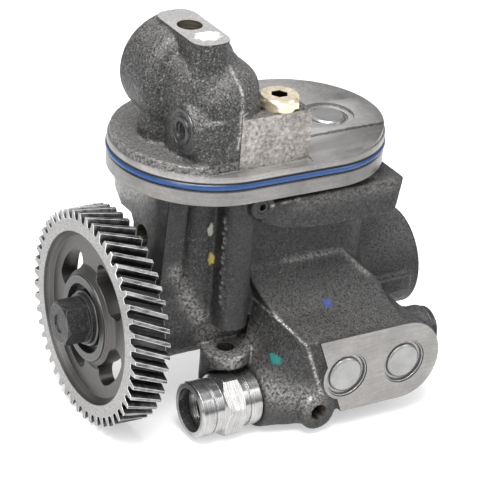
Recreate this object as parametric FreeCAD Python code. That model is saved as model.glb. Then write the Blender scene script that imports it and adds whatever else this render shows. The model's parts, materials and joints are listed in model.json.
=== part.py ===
import FreeCAD, Part
import math
import os
from FreeCAD import Vector

# High-pressure oil pump, in millimetres.
# X runs along the drive axis with the gear at the low end, Y runs across the
# pump with the machined manifold face at the low end, and Z is up.
# While modelling, the drive axis is at y = 0 and the floor at z = 0.

# Drive gear
GEAR_OD = 115.0
GEAR_TEETH = 49
GEAR_WIDTH = 20.0
GEAR_HELIX = 28.0
GEAR_FRONT_X = -95.0
GEAR_RIM_R = 46.0
GEAR_RECESS = 4.5
GEAR_WEB = 8.0
GEAR_HUB_R = 23.0
GEAR_HUB_REACH = 8.5
GEAR_HUB_SLOPE = 5.0
GEAR_RIM_SLOPE = 3.0
WINDOW_COUNT = 4
WINDOW_R = 31.0
WINDOW_WIDTH = 11.0
WINDOW_SPAN = 38.0
WINDOW_START = -38.0
TOOTH_ADDENDUM = 1.0
TOOTH_DEDENDUM = 1.25
TOOTH_TIP_SHARE = 0.30
TOOTH_ROOT_SHARE = 0.62

# Gear bolt and washer
SEAT_R = 18.5
SEAT_DEPTH = 4.5
WASHER_R = 15.0
WASHER_T = 4.0
BOLT_R = 6.0
BOLT_FLATS = 21.0
BOLT_HEAD = 14.5
BOLT_REACH = 30.0
BOLT_DIMPLE_R = 5.0
BOLT_DIMPLE = 0.8
BOLT_COLLAR_T = 2.0
BOLT_COLLAR_INSET = 1.5
BOLT_BEVEL = (2.2, 1.6)
BOLT_HOLE_GAP = 0.3

# Drive shaft
NOSE_R = 8.0
JOURNAL_R = 8.5
SHOULDER_R = 11.0
SHAFT_R = 8.0
REAR_JOURNAL_R = 7.0
KEY_WIDTH = 5.0
KEY_SINK = 1.5
KEY_RISE = 2.5
KEY_LENGTH = 14.0

# Fits
RUN_GAP = 0.05
FACE_GAP = 0.1
SEAL_GAP = 0.02

# Ball bearing at the drive end
BEARING_R = 20.0
BEARING_WIDTH = 12.0
BEARING_FRONT_X = -57.0
BALL_COUNT = 7
BALL_R = 3.3
RACE_LIP = 1.5
RACE_GAP = 0.9
CAGE_EDGE = 1.1
SEAL_WIDTH = 7.0
RING_T = 1.5
RING_GROOVE = 1.2
RING_FACE = 2.5
RING_MOUTH = 8.0
SEAL_WALL = 2.0
SEAL_LIP_GAP = 0.6

# Main bore and rotating group
BORE_R = 21.5
CASE_R = 27.5
FRONT_CASE_R = 29.0
FRONT_CASE_END_X = -14.0
BORE_START_X = 0.0
NECK_R = 13.0
SWASH_ANGLE = 15.0
SWASH_THIN = 3.0
SWASH_BLANK = 30.0
NEEDLE_R = 1.0
NEEDLE_COUNT = 10
NEEDLE_LENGTH = 5.0
RACE_T = 2.5
RACE_R = 18.5
PISTON_COUNT = 7
PISTON_R = 3.5
PISTON_PITCH_R = 13.5
PISTON_LENGTH = 34.0
PISTON_CHAMFER = 1.2
PISTON_FLOAT = 0.3
BARREL_R = 19.5
BARREL_START_X = 28.0
BARREL_LENGTH = 38.0
BARREL_FLOOR = 6.0
KIDNEY_WIDTH = 5.0
KIDNEY_SPAN = 120.0
BARREL_KEY_WIDTH = 4.0
BARREL_KEY_LENGTH = 12.0
BARREL_KEY_X = 36.0
VALVE_PLATE_T = 4.0
VALVE_PIN_R = 1.5
VALVE_PIN_INSET = 3.5
VALVE_PIN_REACH = 5.0
SPRING_T = 1.2
SPRING_RISE = 1.0
SPRING_WIDTH = 1.9
COLLAR_T = 4.0
CAP_LENGTH = 20.0
CAP_CHAMFER = 1.0
CAP_PORT_DEPTH = 8.0
CAP_SEAL_DEPTH = 12.0
PULLER_R = 3.0
PULLER_DEPTH = 4.0
SNAP_MOUTH = 10.0
SNAP_EAR_R = 2.6
SNAP_EAR_Y = 7.0
SNAP_EYE_R = 1.0
SNAP_EAR_DROP = (3.2, 3.6)
BUSH_WALL = 2.0
BUSH_LENGTH = 14.0
REAR_FACE_X = 96.0
CAP_SEAL_R = 1.3

# Oval flange with its sealing ring
FLANGE_LEFT = (-29.0, 0.0, 50.4)
FLANGE_RIGHT = (22.0, -4.0, 47.6)
FLANGE_BASE_Z = 134.8
O_RING_Z = 144.8
O_RING_R = 2.0
O_RING_PROUD = 0.7
LAND_TOP_Z = 150.6
PLATE_TOP_Z = 155.0
PLATE_INSET = 1.0
RAMP_RUN = 19.0
RAMP_EDGE = 1.5
RAMP_TILT = 3.0

# Raised block with the gold plug
BLOCK_X = (-36.0, 6.5)
BLOCK_Y = (-43.5, -20.0)
BLOCK_TOP_Z = 177.8
GOLD_PLUG = (-8.0, -34.0)
GOLD_HEAD_R = 11.5
GOLD_HEAD_T = 5.0
GOLD_COLLAR_T = 1.6
GOLD_SHANK_R = 7.0
GOLD_SHANK_LENGTH = 14.0
GOLD_SOCKET = 8.0
GOLD_SEAT_GAP = 1.0
GOLD_SOCKET_DEPTH = 4.5
GOLD_NECK = (2.2, 0.2)
GOLD_NECK_DEPTH = 2.0

# Cup plug in the plate
PLATE_PLUG = (39.0, -9.0)
PLATE_PLUG_R = 9.6
PLATE_RECESS_R = 14.0
PLATE_RECESS = 1.6
PLATE_PLUG_PROUD = 1.2
PLATE_CUP_WALL = 1.4
PLATE_CUP_DEPTH = 7.0
PLATE_CUP_FLOOR = 1.5
PLATE_CUP_RIM = 0.6

# Regulator tower
TOWER_X = -44.7
TOWER_Z = 187.9
TOWER_R = 27.6
TOWER_Y = (-13.0, 18.7)
TOWER_ROUND = 9.0
TOWER_BACK_ROUND = 4.0
TOWER_BORE_R = 12.0
TOWER_BORE_DEPTH = 24.0
DOME = (-36.0, -19.0, 179.0)
DOME_R = 24.5
TOWER_BROW = (-41.5, -14.0, 188.0)
TOWER_BROW_R = 22.0
PAD_Z = 215.5
PAD_X = (-55.3, -34.4)
PAD_Y = (-32.0, 16.0)
PAD_ROUND = 8.0
PAD_DEPTH = 28.0
PAD_HOLE = (-45.2, -4.8)
PAD_HOLE_R = 6.5
PAD_HOLE_DEPTH = 12.0
TOWER_WALL_X = (-56.0, -20.0)
TOWER_WALL_Y = (-43.5, 12.0)
TOWER_WALL_ROUND = 9.0
TOWER_NECK_X = -66.0
TOWER_NECK_Y = -10.0
TOWER_WALL_DROP = 10.0
TOWER_SINK = 3.0
BOSS_Y = -29.3
BOSS_Z = 171.0
BOSS_R = 12.8
BOSS_FACE_X = -60.0
BOSS_HOLE_R = 4.0
BOSS_HOLE_DEPTH = 9.0
BOSS_PLUG_SINK = 1.5
BOSS_SOCKET = 3.8
BOSS_SOCKET_DEPTH = 5.0

# Body below the flange
BODY_X = (-56.0, 62.0)
BODY_Y = (-30.0, 33.0)
BODY_ROUND = 18.0
EAR_X = (-66.0, -57.0)
EAR_HOLE = (-6.0, 103.0)
EAR_HOLE_R = 5.8
EAR_TOP_Y = (-31.0, 33.0)
EAR_NOTCH = ((25.0, 116.0), (18.0, 110.0), (7.0, 110.0), (4.0, 106.0))
EAR_FOOT = ((4.0, 20.0), (20.0, 0.0), (-20.0, 0.0), (-27.0, 30.0))
RIB_X = (58.0, 89.0)
RIB_Y = (-32.0, -18.0)
RIB_RISE = (-7.0, 3.0)
COLUMN_X = (-37.0, -19.0)
COLUMN_Y = (-43.0, -20.0)
LUG_BOLT = (-28.0, -33.0)
LUG_R = 13.0
LUG_Z = (20.0, 43.0)
LUG_BOLT_R = 4.5
LUG_HOLE_DEPTH = 8.0
LUG_TIE_X = (-25.0, 4.0)
COLUMN_ROUND = 7.0
COLUMN_CLEAR = 14.0
SIDE_PLUG_X = -21.0
SIDE_PLUG_Z = 129.5
SIDE_PLUG_R = 3.3
SIDE_BOSS_R = 7.0
SIDE_BOSS_Y = -48.5
SIDE_PLUG_DEPTH = 6.0
SIDE_PLUG_SINK = 1.0
SIDE_SOCKET_R = 1.8
SIDE_SOCKET_DEPTH = 3.5
SHELF_Y = (-46.0, -22.0)
SHELF_X = (-20.0, 66.4)
SHELF_DROP = 4.8
SHELF_DEPTH = 25.3
SHELF_END_X = 62.6
SHELF_BEND_X = (-6.0, 17.0)
SHELF_BEND_DEPTH = 21.8
SHELF_START_DEPTH = 15.8
SHELF_NECK_X = 54.0
SHELF_NECK_Y = -40.0
INLET_X = 18.0
INLET_Z = 84.0
INLET_R = 9.0
INLET_BOSS_R = 15.0
INLET_FACE_Y = 42.0
INLET_DEPTH = 16.0
INLET_ROOT_Y = 10.0

# Manifold block
MANIFOLD_X = (0.0, 83.0)
MANIFOLD_Y = (-68.0, -8.0)
MANIFOLD_Z = (11.0, 56.0)
MANIFOLD_ROUND = 22.0
CAST_INSET = 0.6
FACE_Y = -70.0
FACE_DEPTH = 12.0
FLASH_TOP = (-0.5, -68.0, 56.0)
FLASH_LOW = (19.0, -68.0, 4.0)
FLASH_BACK = (-11.0, -28.0, 66.9)
FACE_MARGIN = 7.0
CHECK_BOSS_R = 14.2
RISE_TURN = (-54.0, 60.0)
RISE_MIDDLE = (-39.4, 68.2)
RISE_END = (-32.0, 85.5)
RISE_TOP_END_X = 42.0
RISE_LOW_END = (62.0, 67.0)
CHECK_X = (25.0, 61.0)
CHECK_Z = 33.0
CHECK_R = 12.6
CHECK_DEPTH = 40.0
CUP_R = 12.55
CUP_DISC_R = 9.8
CUP_DEPTH = 6.0
LOWER_LUG_X = 10.0
LOWER_LUG_Z = 13.5
LOWER_LUG_R = 10.5
LOWER_LUG_DEPTH = 22.0
LOWER_HOLE_R = 4.4
LOWER_HOLE_DEPTH = 13.0
END_PLUG_Y = -52.0
END_PLUG_Z = 40.0
END_PLUG_R = 11.0
END_PLUG_PROUD = 4.0
END_PLUG_DEPTH = 7.5
END_PLUG_STEP = 2.0
END_BOSS_WALL = 1.5
END_BOSS_PROUD = 0.4
END_PLUG_BEVEL = 1.2
END_SOCKET = 9.0
END_SOCKET_DEPTH = 3.0

# Check valves behind the cup plugs
SEAT_RING_LENGTH = 6.0
SEAT_RING_BORE_R = 4.0
POPPET_R = 8.0
POPPET_LENGTH = 12.0
POPPET_NOSE = 3.0
POPPET_FLOOR = 2.0
POPPET_WALL = 1.4
GUIDE_SLOT_WIDTH = 5.0
GUIDE_SLOT_LENGTH = 7.0
GUIDE_SLOT_DEPTH = 2.0
GUIDE_LIP = 2.0
CHECK_SPRING_R = 5.5
CHECK_WIRE = 1.2
CHECK_SPRING_TURNS = 4

# Discharge fitting
FITTING_Y = -45.0
FITTING_Z = 17.2
FITTING_FRONT_X = -54.5
FITTING_R = 15.2
FITTING_FLATS = 31.0
FITTING_CORNER_R = 17.4
FITTING_TURN = 48.0
FITTING_HEX = (13.5, 25.5)
FITTING_BOSS_R = 17.0
FITTING_BOSS_X = -18.0
FITTING_SHANK_R = 11.0
FITTING_SHANK_LENGTH = 18.0
FITTING_BORE_R = 11.8
FITTING_STEP_R = 9.0
FITTING_THROAT_R = 6.0
FITTING_BORE_DEPTH = 9.0
FITTING_RING_T = 1.4
FITTING_RING_X = 6.0
FITTING_RELIEF = 0.6

# Levels worked out from the dimensions above
AXIS_Z = GEAR_OD / 2
GEAR_REAR_X = GEAR_FRONT_X + GEAR_WIDTH
SEAT_X = GEAR_FRONT_X + SEAT_DEPTH
WASHER_X = SEAT_X - WASHER_T
BOLT_FRONT_X = WASHER_X - BOLT_HEAD
SEAL_X = BEARING_FRONT_X - RING_T - SEAL_WIDTH
NOSE_FACE_X = SEAL_X - 0.5
BEARING_REAR_X = BEARING_FRONT_X + BEARING_WIDTH
BALL_PITCH_R = (BEARING_R + JOURNAL_R) / 2
SWASH_TAN = math.tan(math.radians(SWASH_ANGLE))
SWASH_COS = math.cos(math.radians(SWASH_ANGLE))
SWASH_MID_X = BORE_START_X + SWASH_THIN + BORE_R * SWASH_TAN
THRUST_T = 2 * NEEDLE_R + 2 * RUN_GAP + RACE_T
PISTON_EDGE_R = PISTON_PITCH_R + PISTON_R - PISTON_CHAMFER
PISTON_TIP_X = (SWASH_MID_X + THRUST_T / SWASH_COS
                + PISTON_EDGE_R * SWASH_TAN + PISTON_FLOAT)
BARREL_END_X = BARREL_START_X + BARREL_LENGTH
SPRING_X = BARREL_START_X - RUN_GAP - 2 * (SPRING_T + SPRING_RISE + RUN_GAP)
COLLAR_X = SPRING_X - RUN_GAP
VALVE_X = BARREL_END_X + FACE_GAP
CAP_X = VALVE_X + VALVE_PLATE_T
CAP_END_X = CAP_X + CAP_LENGTH
SHAFT_END_X = CAP_X + BUSH_LENGTH + 1.0
FLOOR_Z = 0.0
BACK_Y = GEAR_OD / 2
MID_X = (BOLT_FRONT_X + REAR_FACE_X) / 2
MID_Y = (FACE_Y + BACK_Y) / 2

X_AXIS = Vector(1, 0, 0)
Y_AXIS = Vector(0, 1, 0)
Z_AXIS = Vector(0, 0, 1)


def box(xs, ys, zs):
    size = (xs[1] - xs[0], ys[1] - ys[0], zs[1] - zs[0])
    return Part.makeBox(*size, Vector(xs[0], ys[0], zs[0]))


def rounded_box(xs, ys, zs, radius):
    """A box whose upright edges are rounded."""
    body = box(xs, ys, zs)
    upright = [e for e in body.Edges if abs(e.tangentAt(e.FirstParameter).z) > 0.9]
    return body.makeFillet(radius, upright)


def rod_x(radius, x0, x1, y=0.0, z=AXIS_Z):
    return Part.makeCylinder(radius, x1 - x0, Vector(x0, y, z), X_AXIS)


def rod_y(radius, y0, y1, x, z):
    return Part.makeCylinder(radius, y1 - y0, Vector(x, y0, z), Y_AXIS)


def rod_z(radius, z0, z1, x, y):
    return Part.makeCylinder(radius, z1 - z0, Vector(x, y, z0), Z_AXIS)


def tube_x(outer, inner, x0, x1, y=0.0, z=AXIS_Z):
    return rod_x(outer, x0, x1, y, z).cut(rod_x(inner, x0 - 1, x1 + 1, y, z))


def hexagon(flats):
    radius = flats / math.sqrt(3)
    angles = [math.radians(60 * i) for i in range(6)]
    return [(radius * math.cos(a), radius * math.sin(a)) for a in angles]


def face_of(points):
    """A flat face through points that need not repeat the first one."""
    return Part.Face(Part.makePolygon(points + [points[0]]))


def hex_x(flats, x0, x1, y=0.0, z=AXIS_Z, turn=0.0):
    points = [Vector(x0, y + a, z + b) for a, b in hexagon(flats)]
    prism = face_of(points).extrude(Vector(x1 - x0, 0, 0))
    return prism.rotate(Vector(x0, y, z), X_AXIS, turn)


def hex_z(flats, z0, z1, x, y):
    points = [Vector(x + a, y + b, z0) for a, b in hexagon(flats)]
    return face_of(points).extrude(Vector(0, 0, z1 - z0))


def turned_x(profile, y=0.0, z=AXIS_Z):
    """A turned piece about an axis along X, from (x, radius) pairs."""
    points = [Vector(x, y, z + r) for x, r in profile]
    return face_of(points).revolve(Vector(0, y, z), X_AXIS, 360)


def turned_y(profile, x, z):
    """A turned piece about an axis along Y, from (y, radius) pairs."""
    points = [Vector(x, y, z + r) for y, r in profile]
    return face_of(points).revolve(Vector(x, 0, z), Y_AXIS, 360)


def turned_z(profile, x, y):
    """A turned piece about an axis along Z, from (z, radius) pairs."""
    points = [Vector(x + r, y, z) for z, r in profile]
    return face_of(points).revolve(Vector(x, y, 0), Z_AXIS, 360)


def joined(shapes):
    return shapes[0].multiFuse(shapes[1:]).removeSplitter()


def ring_copies(shape, count, start=0.0):
    """Copies of a shape spread evenly around the drive axis."""
    copies = []
    for i in range(count):
        item = shape.copy()
        item.rotate(Vector(0, 0, AXIS_Z), X_AXIS, start + 360.0 * i / count)
        copies.append(item)
    return copies


def swash_tilted(shape):
    """Turns a shape made square to the drive axis onto the swash plane."""
    item = shape.copy()
    item.rotate(Vector(SWASH_MID_X, 0, AXIS_Z), Y_AXIS, SWASH_ANGLE)
    return item


def cut_plane(shape, base, normal, size=400.0):
    """Removes what lies on the normal's side of a plane."""
    block = Part.makeBox(size, size, size, Vector(-size / 2, -size / 2, 0))
    turn = FreeCAD.Rotation(Z_AXIS, normal)
    block.Placement = FreeCAD.Placement(base, turn)
    return shape.cut(block)


# Drive gear and what holds it

def gear_outline(x, twist):
    """The toothed outline at one end face, turned by the helix."""
    module = GEAR_OD / (GEAR_TEETH + 2 * TOOTH_ADDENDUM)
    pitch_r = module * GEAR_TEETH / 2
    root_r = pitch_r - TOOTH_DEDENDUM * module
    step = 2 * math.pi / GEAR_TEETH
    stations = ((GEAR_OD / 2, -TOOTH_TIP_SHARE / 2), (GEAR_OD / 2, TOOTH_TIP_SHARE / 2),
                (root_r, TOOTH_ROOT_SHARE / 2), (root_r, 1 - TOOTH_ROOT_SHARE / 2))
    points = []
    for tooth in range(GEAR_TEETH):
        for radius, share in stations:
            angle = twist + step * (tooth + share)
            points.append(Vector(x, radius * math.cos(angle), AXIS_Z + radius * math.sin(angle)))
    return Part.makePolygon(points + [points[0]])


def gear_window(angle):
    """A kidney slot through the web, bowed about the drive axis."""
    half = WINDOW_SPAN / 2
    x0 = GEAR_FRONT_X - 1
    length = GEAR_WIDTH + 2
    inner = rod_x(WINDOW_R - WINDOW_WIDTH / 2, x0, x0 + length)
    arc = rod_x(WINDOW_R + WINDOW_WIDTH / 2, x0, x0 + length).cut(inner)
    reach = 3 * WINDOW_R
    sector = face_of([
        Vector(x0, 0, AXIS_Z),
        Vector(x0, reach * math.cos(math.radians(half)), AXIS_Z - reach * math.sin(math.radians(half))),
        Vector(x0, reach * math.cos(math.radians(half)), AXIS_Z + reach * math.sin(math.radians(half))),
    ]).extrude(Vector(length, 0, 0))
    pieces = [arc.common(sector)]
    for side in (-half, half):
        end = rod_x(WINDOW_WIDTH / 2, x0, x0 + length, WINDOW_R, AXIS_Z)
        end.rotate(Vector(0, 0, AXIS_Z), X_AXIS, side)
        pieces.append(end)
    slot = joined(pieces)
    slot.rotate(Vector(0, 0, AXIS_Z), X_AXIS, angle)
    return slot


def drive_gear():
    twist = GEAR_WIDTH * math.tan(math.radians(GEAR_HELIX)) / (GEAR_OD / 2)
    outlines = [gear_outline(GEAR_FRONT_X, 0.0), gear_outline(GEAR_REAR_X, twist)]
    blank = Part.makeLoft(outlines, True, True)
    web_front = GEAR_FRONT_X + GEAR_RECESS
    web_rear = web_front + GEAR_WEB
    front_recess = turned_x([
        (GEAR_FRONT_X - 1, GEAR_RIM_R + 1), (GEAR_FRONT_X, GEAR_RIM_R),
        (web_front, GEAR_RIM_R - GEAR_RIM_SLOPE),
        (web_front, GEAR_HUB_R + GEAR_HUB_SLOPE), (GEAR_FRONT_X + 1, GEAR_HUB_R),
        (GEAR_FRONT_X - 1, GEAR_HUB_R)])
    rear_recess = turned_x([
        (GEAR_REAR_X + 1, GEAR_RIM_R), (web_rear, GEAR_RIM_R - 2),
        (web_rear, GEAR_HUB_R + 2), (GEAR_REAR_X + 1, GEAR_HUB_R - 1)])
    hub = rod_x(GEAR_HUB_R - GEAR_HUB_SLOPE, GEAR_REAR_X - 1, GEAR_REAR_X + GEAR_HUB_REACH)
    gear = blank.fuse(hub).cut(front_recess).cut(rear_recess)
    gear = gear.cut(rod_x(SEAT_R, GEAR_FRONT_X - 2, SEAT_X))
    gear = gear.cut(rod_x(NOSE_R, GEAR_FRONT_X, GEAR_REAR_X + GEAR_HUB_REACH + 1))
    for i in range(WINDOW_COUNT):
        gear = gear.cut(gear_window(180 - WINDOW_START + 360.0 * i / WINDOW_COUNT))
    return gear.cut(shaft_key())


def shaft_key():
    """The key on top of the shaft nose, under the gear's hub."""
    x0 = GEAR_REAR_X - KEY_LENGTH + 2
    half = KEY_WIDTH / 2
    return box((x0, x0 + KEY_LENGTH), (-half, half),
               (AXIS_Z + NOSE_R - KEY_SINK, AXIS_Z + NOSE_R + KEY_RISE))


def gear_washer():
    washer = tube_x(WASHER_R, BOLT_R + BOLT_HOLE_GAP, WASHER_X, SEAT_X)
    rim = [e for e in washer.Edges if abs(e.Length - 2 * math.pi * WASHER_R) < 0.01]
    return washer.makeChamfer(0.6, [e for e in rim if e.Vertexes[0].X < WASHER_X + 0.1])


def gear_bolt():
    inset, depth = BOLT_BEVEL
    collar_x = WASHER_X - BOLT_COLLAR_T
    corner = BOLT_FLATS / math.sqrt(3) + BOLT_HOLE_GAP
    head = hex_x(BOLT_FLATS, BOLT_FRONT_X, collar_x)
    dome = turned_x([(BOLT_FRONT_X, 0), (BOLT_FRONT_X, corner - inset), (BOLT_FRONT_X + depth, corner),
                     (collar_x, corner), (collar_x, 0)])
    collar = rod_x(WASHER_R - BOLT_COLLAR_INSET, collar_x, WASHER_X)
    shank = rod_x(BOLT_R, WASHER_X, WASHER_X + BOLT_REACH)
    dimple = rod_x(BOLT_DIMPLE_R, BOLT_FRONT_X - 1, BOLT_FRONT_X + BOLT_DIMPLE)
    return joined([head.common(dome), collar, shank]).cut(dimple)


# Shaft and ball bearing

def drive_shaft():
    gear_end = GEAR_REAR_X + GEAR_HUB_REACH
    nose_x = SEAT_X + 1
    profile = [
        (nose_x, 0), (nose_x, NOSE_R - 1), (nose_x + 1, NOSE_R),
        (gear_end, NOSE_R), (gear_end, JOURNAL_R), (BEARING_REAR_X, JOURNAL_R),
        (BEARING_REAR_X, SHOULDER_R), (BORE_START_X - 8, SHOULDER_R),
        (BORE_START_X - 4, SHAFT_R), (COLLAR_X - COLLAR_T, SHAFT_R),
        (COLLAR_X - COLLAR_T, SHAFT_R + SPRING_WIDTH), (COLLAR_X, SHAFT_R + SPRING_WIDTH),
        (COLLAR_X, SHAFT_R), (BARREL_END_X - 2, SHAFT_R),
        (BARREL_END_X - 2, REAR_JOURNAL_R), (SHAFT_END_X - 1, REAR_JOURNAL_R),
        (SHAFT_END_X, REAR_JOURNAL_R - 1), (SHAFT_END_X, 0)]
    shaft = turned_x(profile)
    shaft = shaft.cut(rod_x(BOLT_R, nose_x - 1, WASHER_X + BOLT_REACH + 3))
    shaft = shaft.cut(shaft_key())
    return shaft.cut(barrel_key())


def race(inner, outer):
    """A bearing race with its ball groove."""
    middle = (BEARING_FRONT_X + BEARING_REAR_X) / 2
    groove = Part.makeTorus(BALL_PITCH_R, BALL_R + RUN_GAP, Vector(middle, 0, AXIS_Z), X_AXIS)
    return tube_x(outer, inner, BEARING_FRONT_X, BEARING_REAR_X).cut(groove)


def bearing_balls():
    middle = (BEARING_FRONT_X + BEARING_REAR_X) / 2
    ball = Part.makeSphere(BALL_R, Vector(middle, BALL_PITCH_R, AXIS_Z))
    return Part.makeCompound(ring_copies(ball, BALL_COUNT, 90.0))


def bearing_cage():
    middle = (BEARING_FRONT_X + BEARING_REAR_X) / 2
    half_width = BALL_R + CAGE_EDGE
    band = tube_x(BALL_PITCH_R + RACE_LIP, BALL_PITCH_R - RACE_LIP, middle - half_width, middle + half_width)
    pocket = rod_y(BALL_R + RUN_GAP, BALL_PITCH_R - 2 * RACE_LIP, BALL_PITCH_R + 2 * RACE_LIP, middle, AXIS_Z)
    return band.cut(Part.makeCompound(ring_copies(pocket, BALL_COUNT, 90.0)))


def shaft_seal():
    """A lip seal, open towards the bearing."""
    x0, x1 = SEAL_X + SEAL_WALL, SEAL_X + SEAL_WIDTH + 1
    lip_r = JOURNAL_R + SEAL_LIP_GAP + SEAL_WALL
    shell = tube_x(BEARING_R, JOURNAL_R + SEAL_LIP_GAP, SEAL_X, SEAL_X + SEAL_WIDTH)
    hollow = turned_x([(x0, BEARING_R - SEAL_WALL), (x1, BEARING_R - SEAL_WALL), (x1, lip_r), (x0, lip_r + 1)])
    return shell.cut(hollow)


def spring_ring(bore, x0, mouth):
    """A ring in a groove of a bore, open at the top by the mouth."""
    x1 = x0 + RING_T
    ring = tube_x(bore + RING_GROOVE, bore - RING_FACE, x0, x1)
    return ring.cut(box((x0 - 1, x1 + 1), (-mouth / 2, mouth / 2), (AXIS_Z, AXIS_Z + 2 * bore)))


def bearing_retaining_ring():
    return spring_ring(BEARING_R, SEAL_X + SEAL_WIDTH, RING_MOUTH)


# Swash plate and rotating group

def swash_plate():
    wedge = tube_x(BORE_R, SHOULDER_R + 1, BORE_START_X, BORE_START_X + SWASH_BLANK)
    normal = Vector(SWASH_COS, 0, -SWASH_TAN * SWASH_COS)
    return cut_plane(wedge, Vector(SWASH_MID_X, 0, AXIS_Z), normal)


def thrust_cage():
    x0 = SWASH_MID_X + RUN_GAP + 0.4
    band = tube_x(RACE_R - 0.5, SHOULDER_R, x0, x0 + 2 * NEEDLE_R - 0.8)
    return swash_tilted(band.cut(Part.makeCompound(needle_blanks(NEEDLE_R + 0.02, 0.1))))


def needle_blanks(radius, extra):
    middle = (RACE_R - 0.5 + SHOULDER_R) / 2
    start = middle - NEEDLE_LENGTH / 2 - extra
    base = Vector(SWASH_MID_X + RUN_GAP + NEEDLE_R, start, AXIS_Z)
    needle = Part.makeCylinder(radius, NEEDLE_LENGTH + 2 * extra, base, Y_AXIS)
    return ring_copies(needle, NEEDLE_COUNT)


def thrust_needles():
    return swash_tilted(Part.makeCompound(needle_blanks(NEEDLE_R, 0.0)))


def thrust_race():
    x0 = SWASH_MID_X + 2 * NEEDLE_R + 2 * RUN_GAP
    return swash_tilted(tube_x(RACE_R, SHOULDER_R, x0, x0 + RACE_T))


def piston_row(radius, x0, x1):
    """Rods along the piston axes, with the barrel's key between two of them."""
    blank = rod_x(radius, x0, x1, PISTON_PITCH_R)
    return ring_copies(blank, PISTON_COUNT, 90.0 + 180.0 / PISTON_COUNT)


def pistons():
    rods = []
    for rod in piston_row(PISTON_R, PISTON_TIP_X, PISTON_TIP_X + PISTON_LENGTH):
        tip = [e for e in rod.Edges if e.CenterOfMass.x < PISTON_TIP_X + 0.1]
        rods.append(rod.makeChamfer(PISTON_CHAMFER, tip))
    return Part.makeCompound(rods)


def barrel_key():
    """The key that makes the barrel turn with the shaft."""
    half = BARREL_KEY_WIDTH / 2
    return box((BARREL_KEY_X, BARREL_KEY_X + BARREL_KEY_LENGTH), (-half, half),
               (AXIS_Z + SHAFT_R - half, AXIS_Z + SHAFT_R + half))


def cylinder_barrel():
    barrel = tube_x(BARREL_R, SHAFT_R, BARREL_START_X, BARREL_END_X)
    floor_x = BARREL_END_X - BARREL_FLOOR
    bores = piston_row(PISTON_R + RUN_GAP, BARREL_START_X - 1, floor_x)
    outlets = piston_row(KIDNEY_WIDTH / 2, floor_x - 1, BARREL_END_X + 1)
    return barrel.cut(Part.makeCompound(bores + outlets + [barrel_key()]))


def barrel_springs():
    """Two facing disc springs that press the barrel onto the valve plate."""
    inner = SHAFT_R + RUN_GAP
    outer = SHAFT_R + SPRING_WIDTH
    discs = []
    for x, way in ((SPRING_X, 1), (BARREL_START_X - RUN_GAP, -1)):
        rise = way * SPRING_RISE
        thick = way * SPRING_T
        discs.append(turned_x([(x, inner), (x + rise, outer), (x + rise + thick, outer), (x + thick, inner)]))
    return Part.makeCompound(discs)


def kidney(angle, x0, x1):
    ring = tube_x(PISTON_PITCH_R + KIDNEY_WIDTH / 2, PISTON_PITCH_R - KIDNEY_WIDTH / 2, x0, x1)
    reach = 3 * PISTON_PITCH_R
    tip = math.radians(KIDNEY_SPAN / 2)
    sector = face_of([Vector(x0 - 1, 0, AXIS_Z),
                      Vector(x0 - 1, reach * math.cos(tip), AXIS_Z - reach * math.sin(tip)),
                      Vector(x0 - 1, reach * math.cos(tip), AXIS_Z + reach * math.sin(tip))])
    slot = ring.common(sector.extrude(Vector(x1 - x0 + 2, 0, 0)))
    slot.rotate(Vector(0, 0, AXIS_Z), X_AXIS, angle)
    return slot


def valve_plate():
    plate = tube_x(BORE_R, REAR_JOURNAL_R + 1.5, VALVE_X, CAP_X)
    for angle in (0, 180):
        plate = plate.cut(kidney(angle, VALVE_X - 1, CAP_X + 1))
    return plate.cut(valve_pin())


def valve_pin():
    x0 = (VALVE_X + CAP_X - VALVE_PLATE_T) / 2 + FACE_GAP
    return rod_x(VALVE_PIN_R, x0, CAP_X + VALVE_PIN_REACH, 0, AXIS_Z + BORE_R - VALVE_PIN_INSET)


def rear_port_cap():
    radius = BORE_R - SEAL_GAP
    cap = rod_x(radius, CAP_X, CAP_END_X)
    edge = [e for e in cap.Edges if e.CenterOfMass.x > CAP_END_X - 0.1]
    cap = cap.makeChamfer(CAP_CHAMFER, edge)
    cap = cap.cut(rod_x(REAR_JOURNAL_R + BUSH_WALL, CAP_X - 1, CAP_X + BUSH_LENGTH + 2))
    for angle in (0, 180):
        cap = cap.cut(kidney(angle, CAP_X - 1, CAP_X + CAP_PORT_DEPTH))
    puller = rod_x(PULLER_R, CAP_END_X - PULLER_DEPTH, CAP_END_X + 1)
    return cap.cut(rear_cap_seal()).cut(puller).cut(valve_pin())


def rear_cap_seal():
    x = CAP_X + CAP_SEAL_DEPTH
    return tube_x(BORE_R, BORE_R - 2 * CAP_SEAL_R, x - CAP_SEAL_R, x + CAP_SEAL_R)


def rear_bush():
    return tube_x(REAR_JOURNAL_R + BUSH_WALL, REAR_JOURNAL_R + RUN_GAP, CAP_X, CAP_X + BUSH_LENGTH)


def rear_snap_ring():
    """The ring that holds the cap, with an eye at each end for the pliers."""
    x0, x1 = CAP_END_X, CAP_END_X + RING_T
    top = AXIS_Z + BORE_R
    ear_drop, eye_drop = SNAP_EAR_DROP
    ears = [rod_x(SNAP_EAR_R, x0, x1, y, top - ear_drop) for y in (-SNAP_EAR_Y, SNAP_EAR_Y)]
    eyes = [rod_x(SNAP_EYE_R, x0 - 1, x1 + 1, y, top - eye_drop) for y in (-SNAP_EAR_Y, SNAP_EAR_Y)]
    ring = spring_ring(BORE_R, x0, SNAP_MOUTH)
    return joined([ring] + ears).cut(Part.makeCompound(eyes))


# Oval flange

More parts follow.
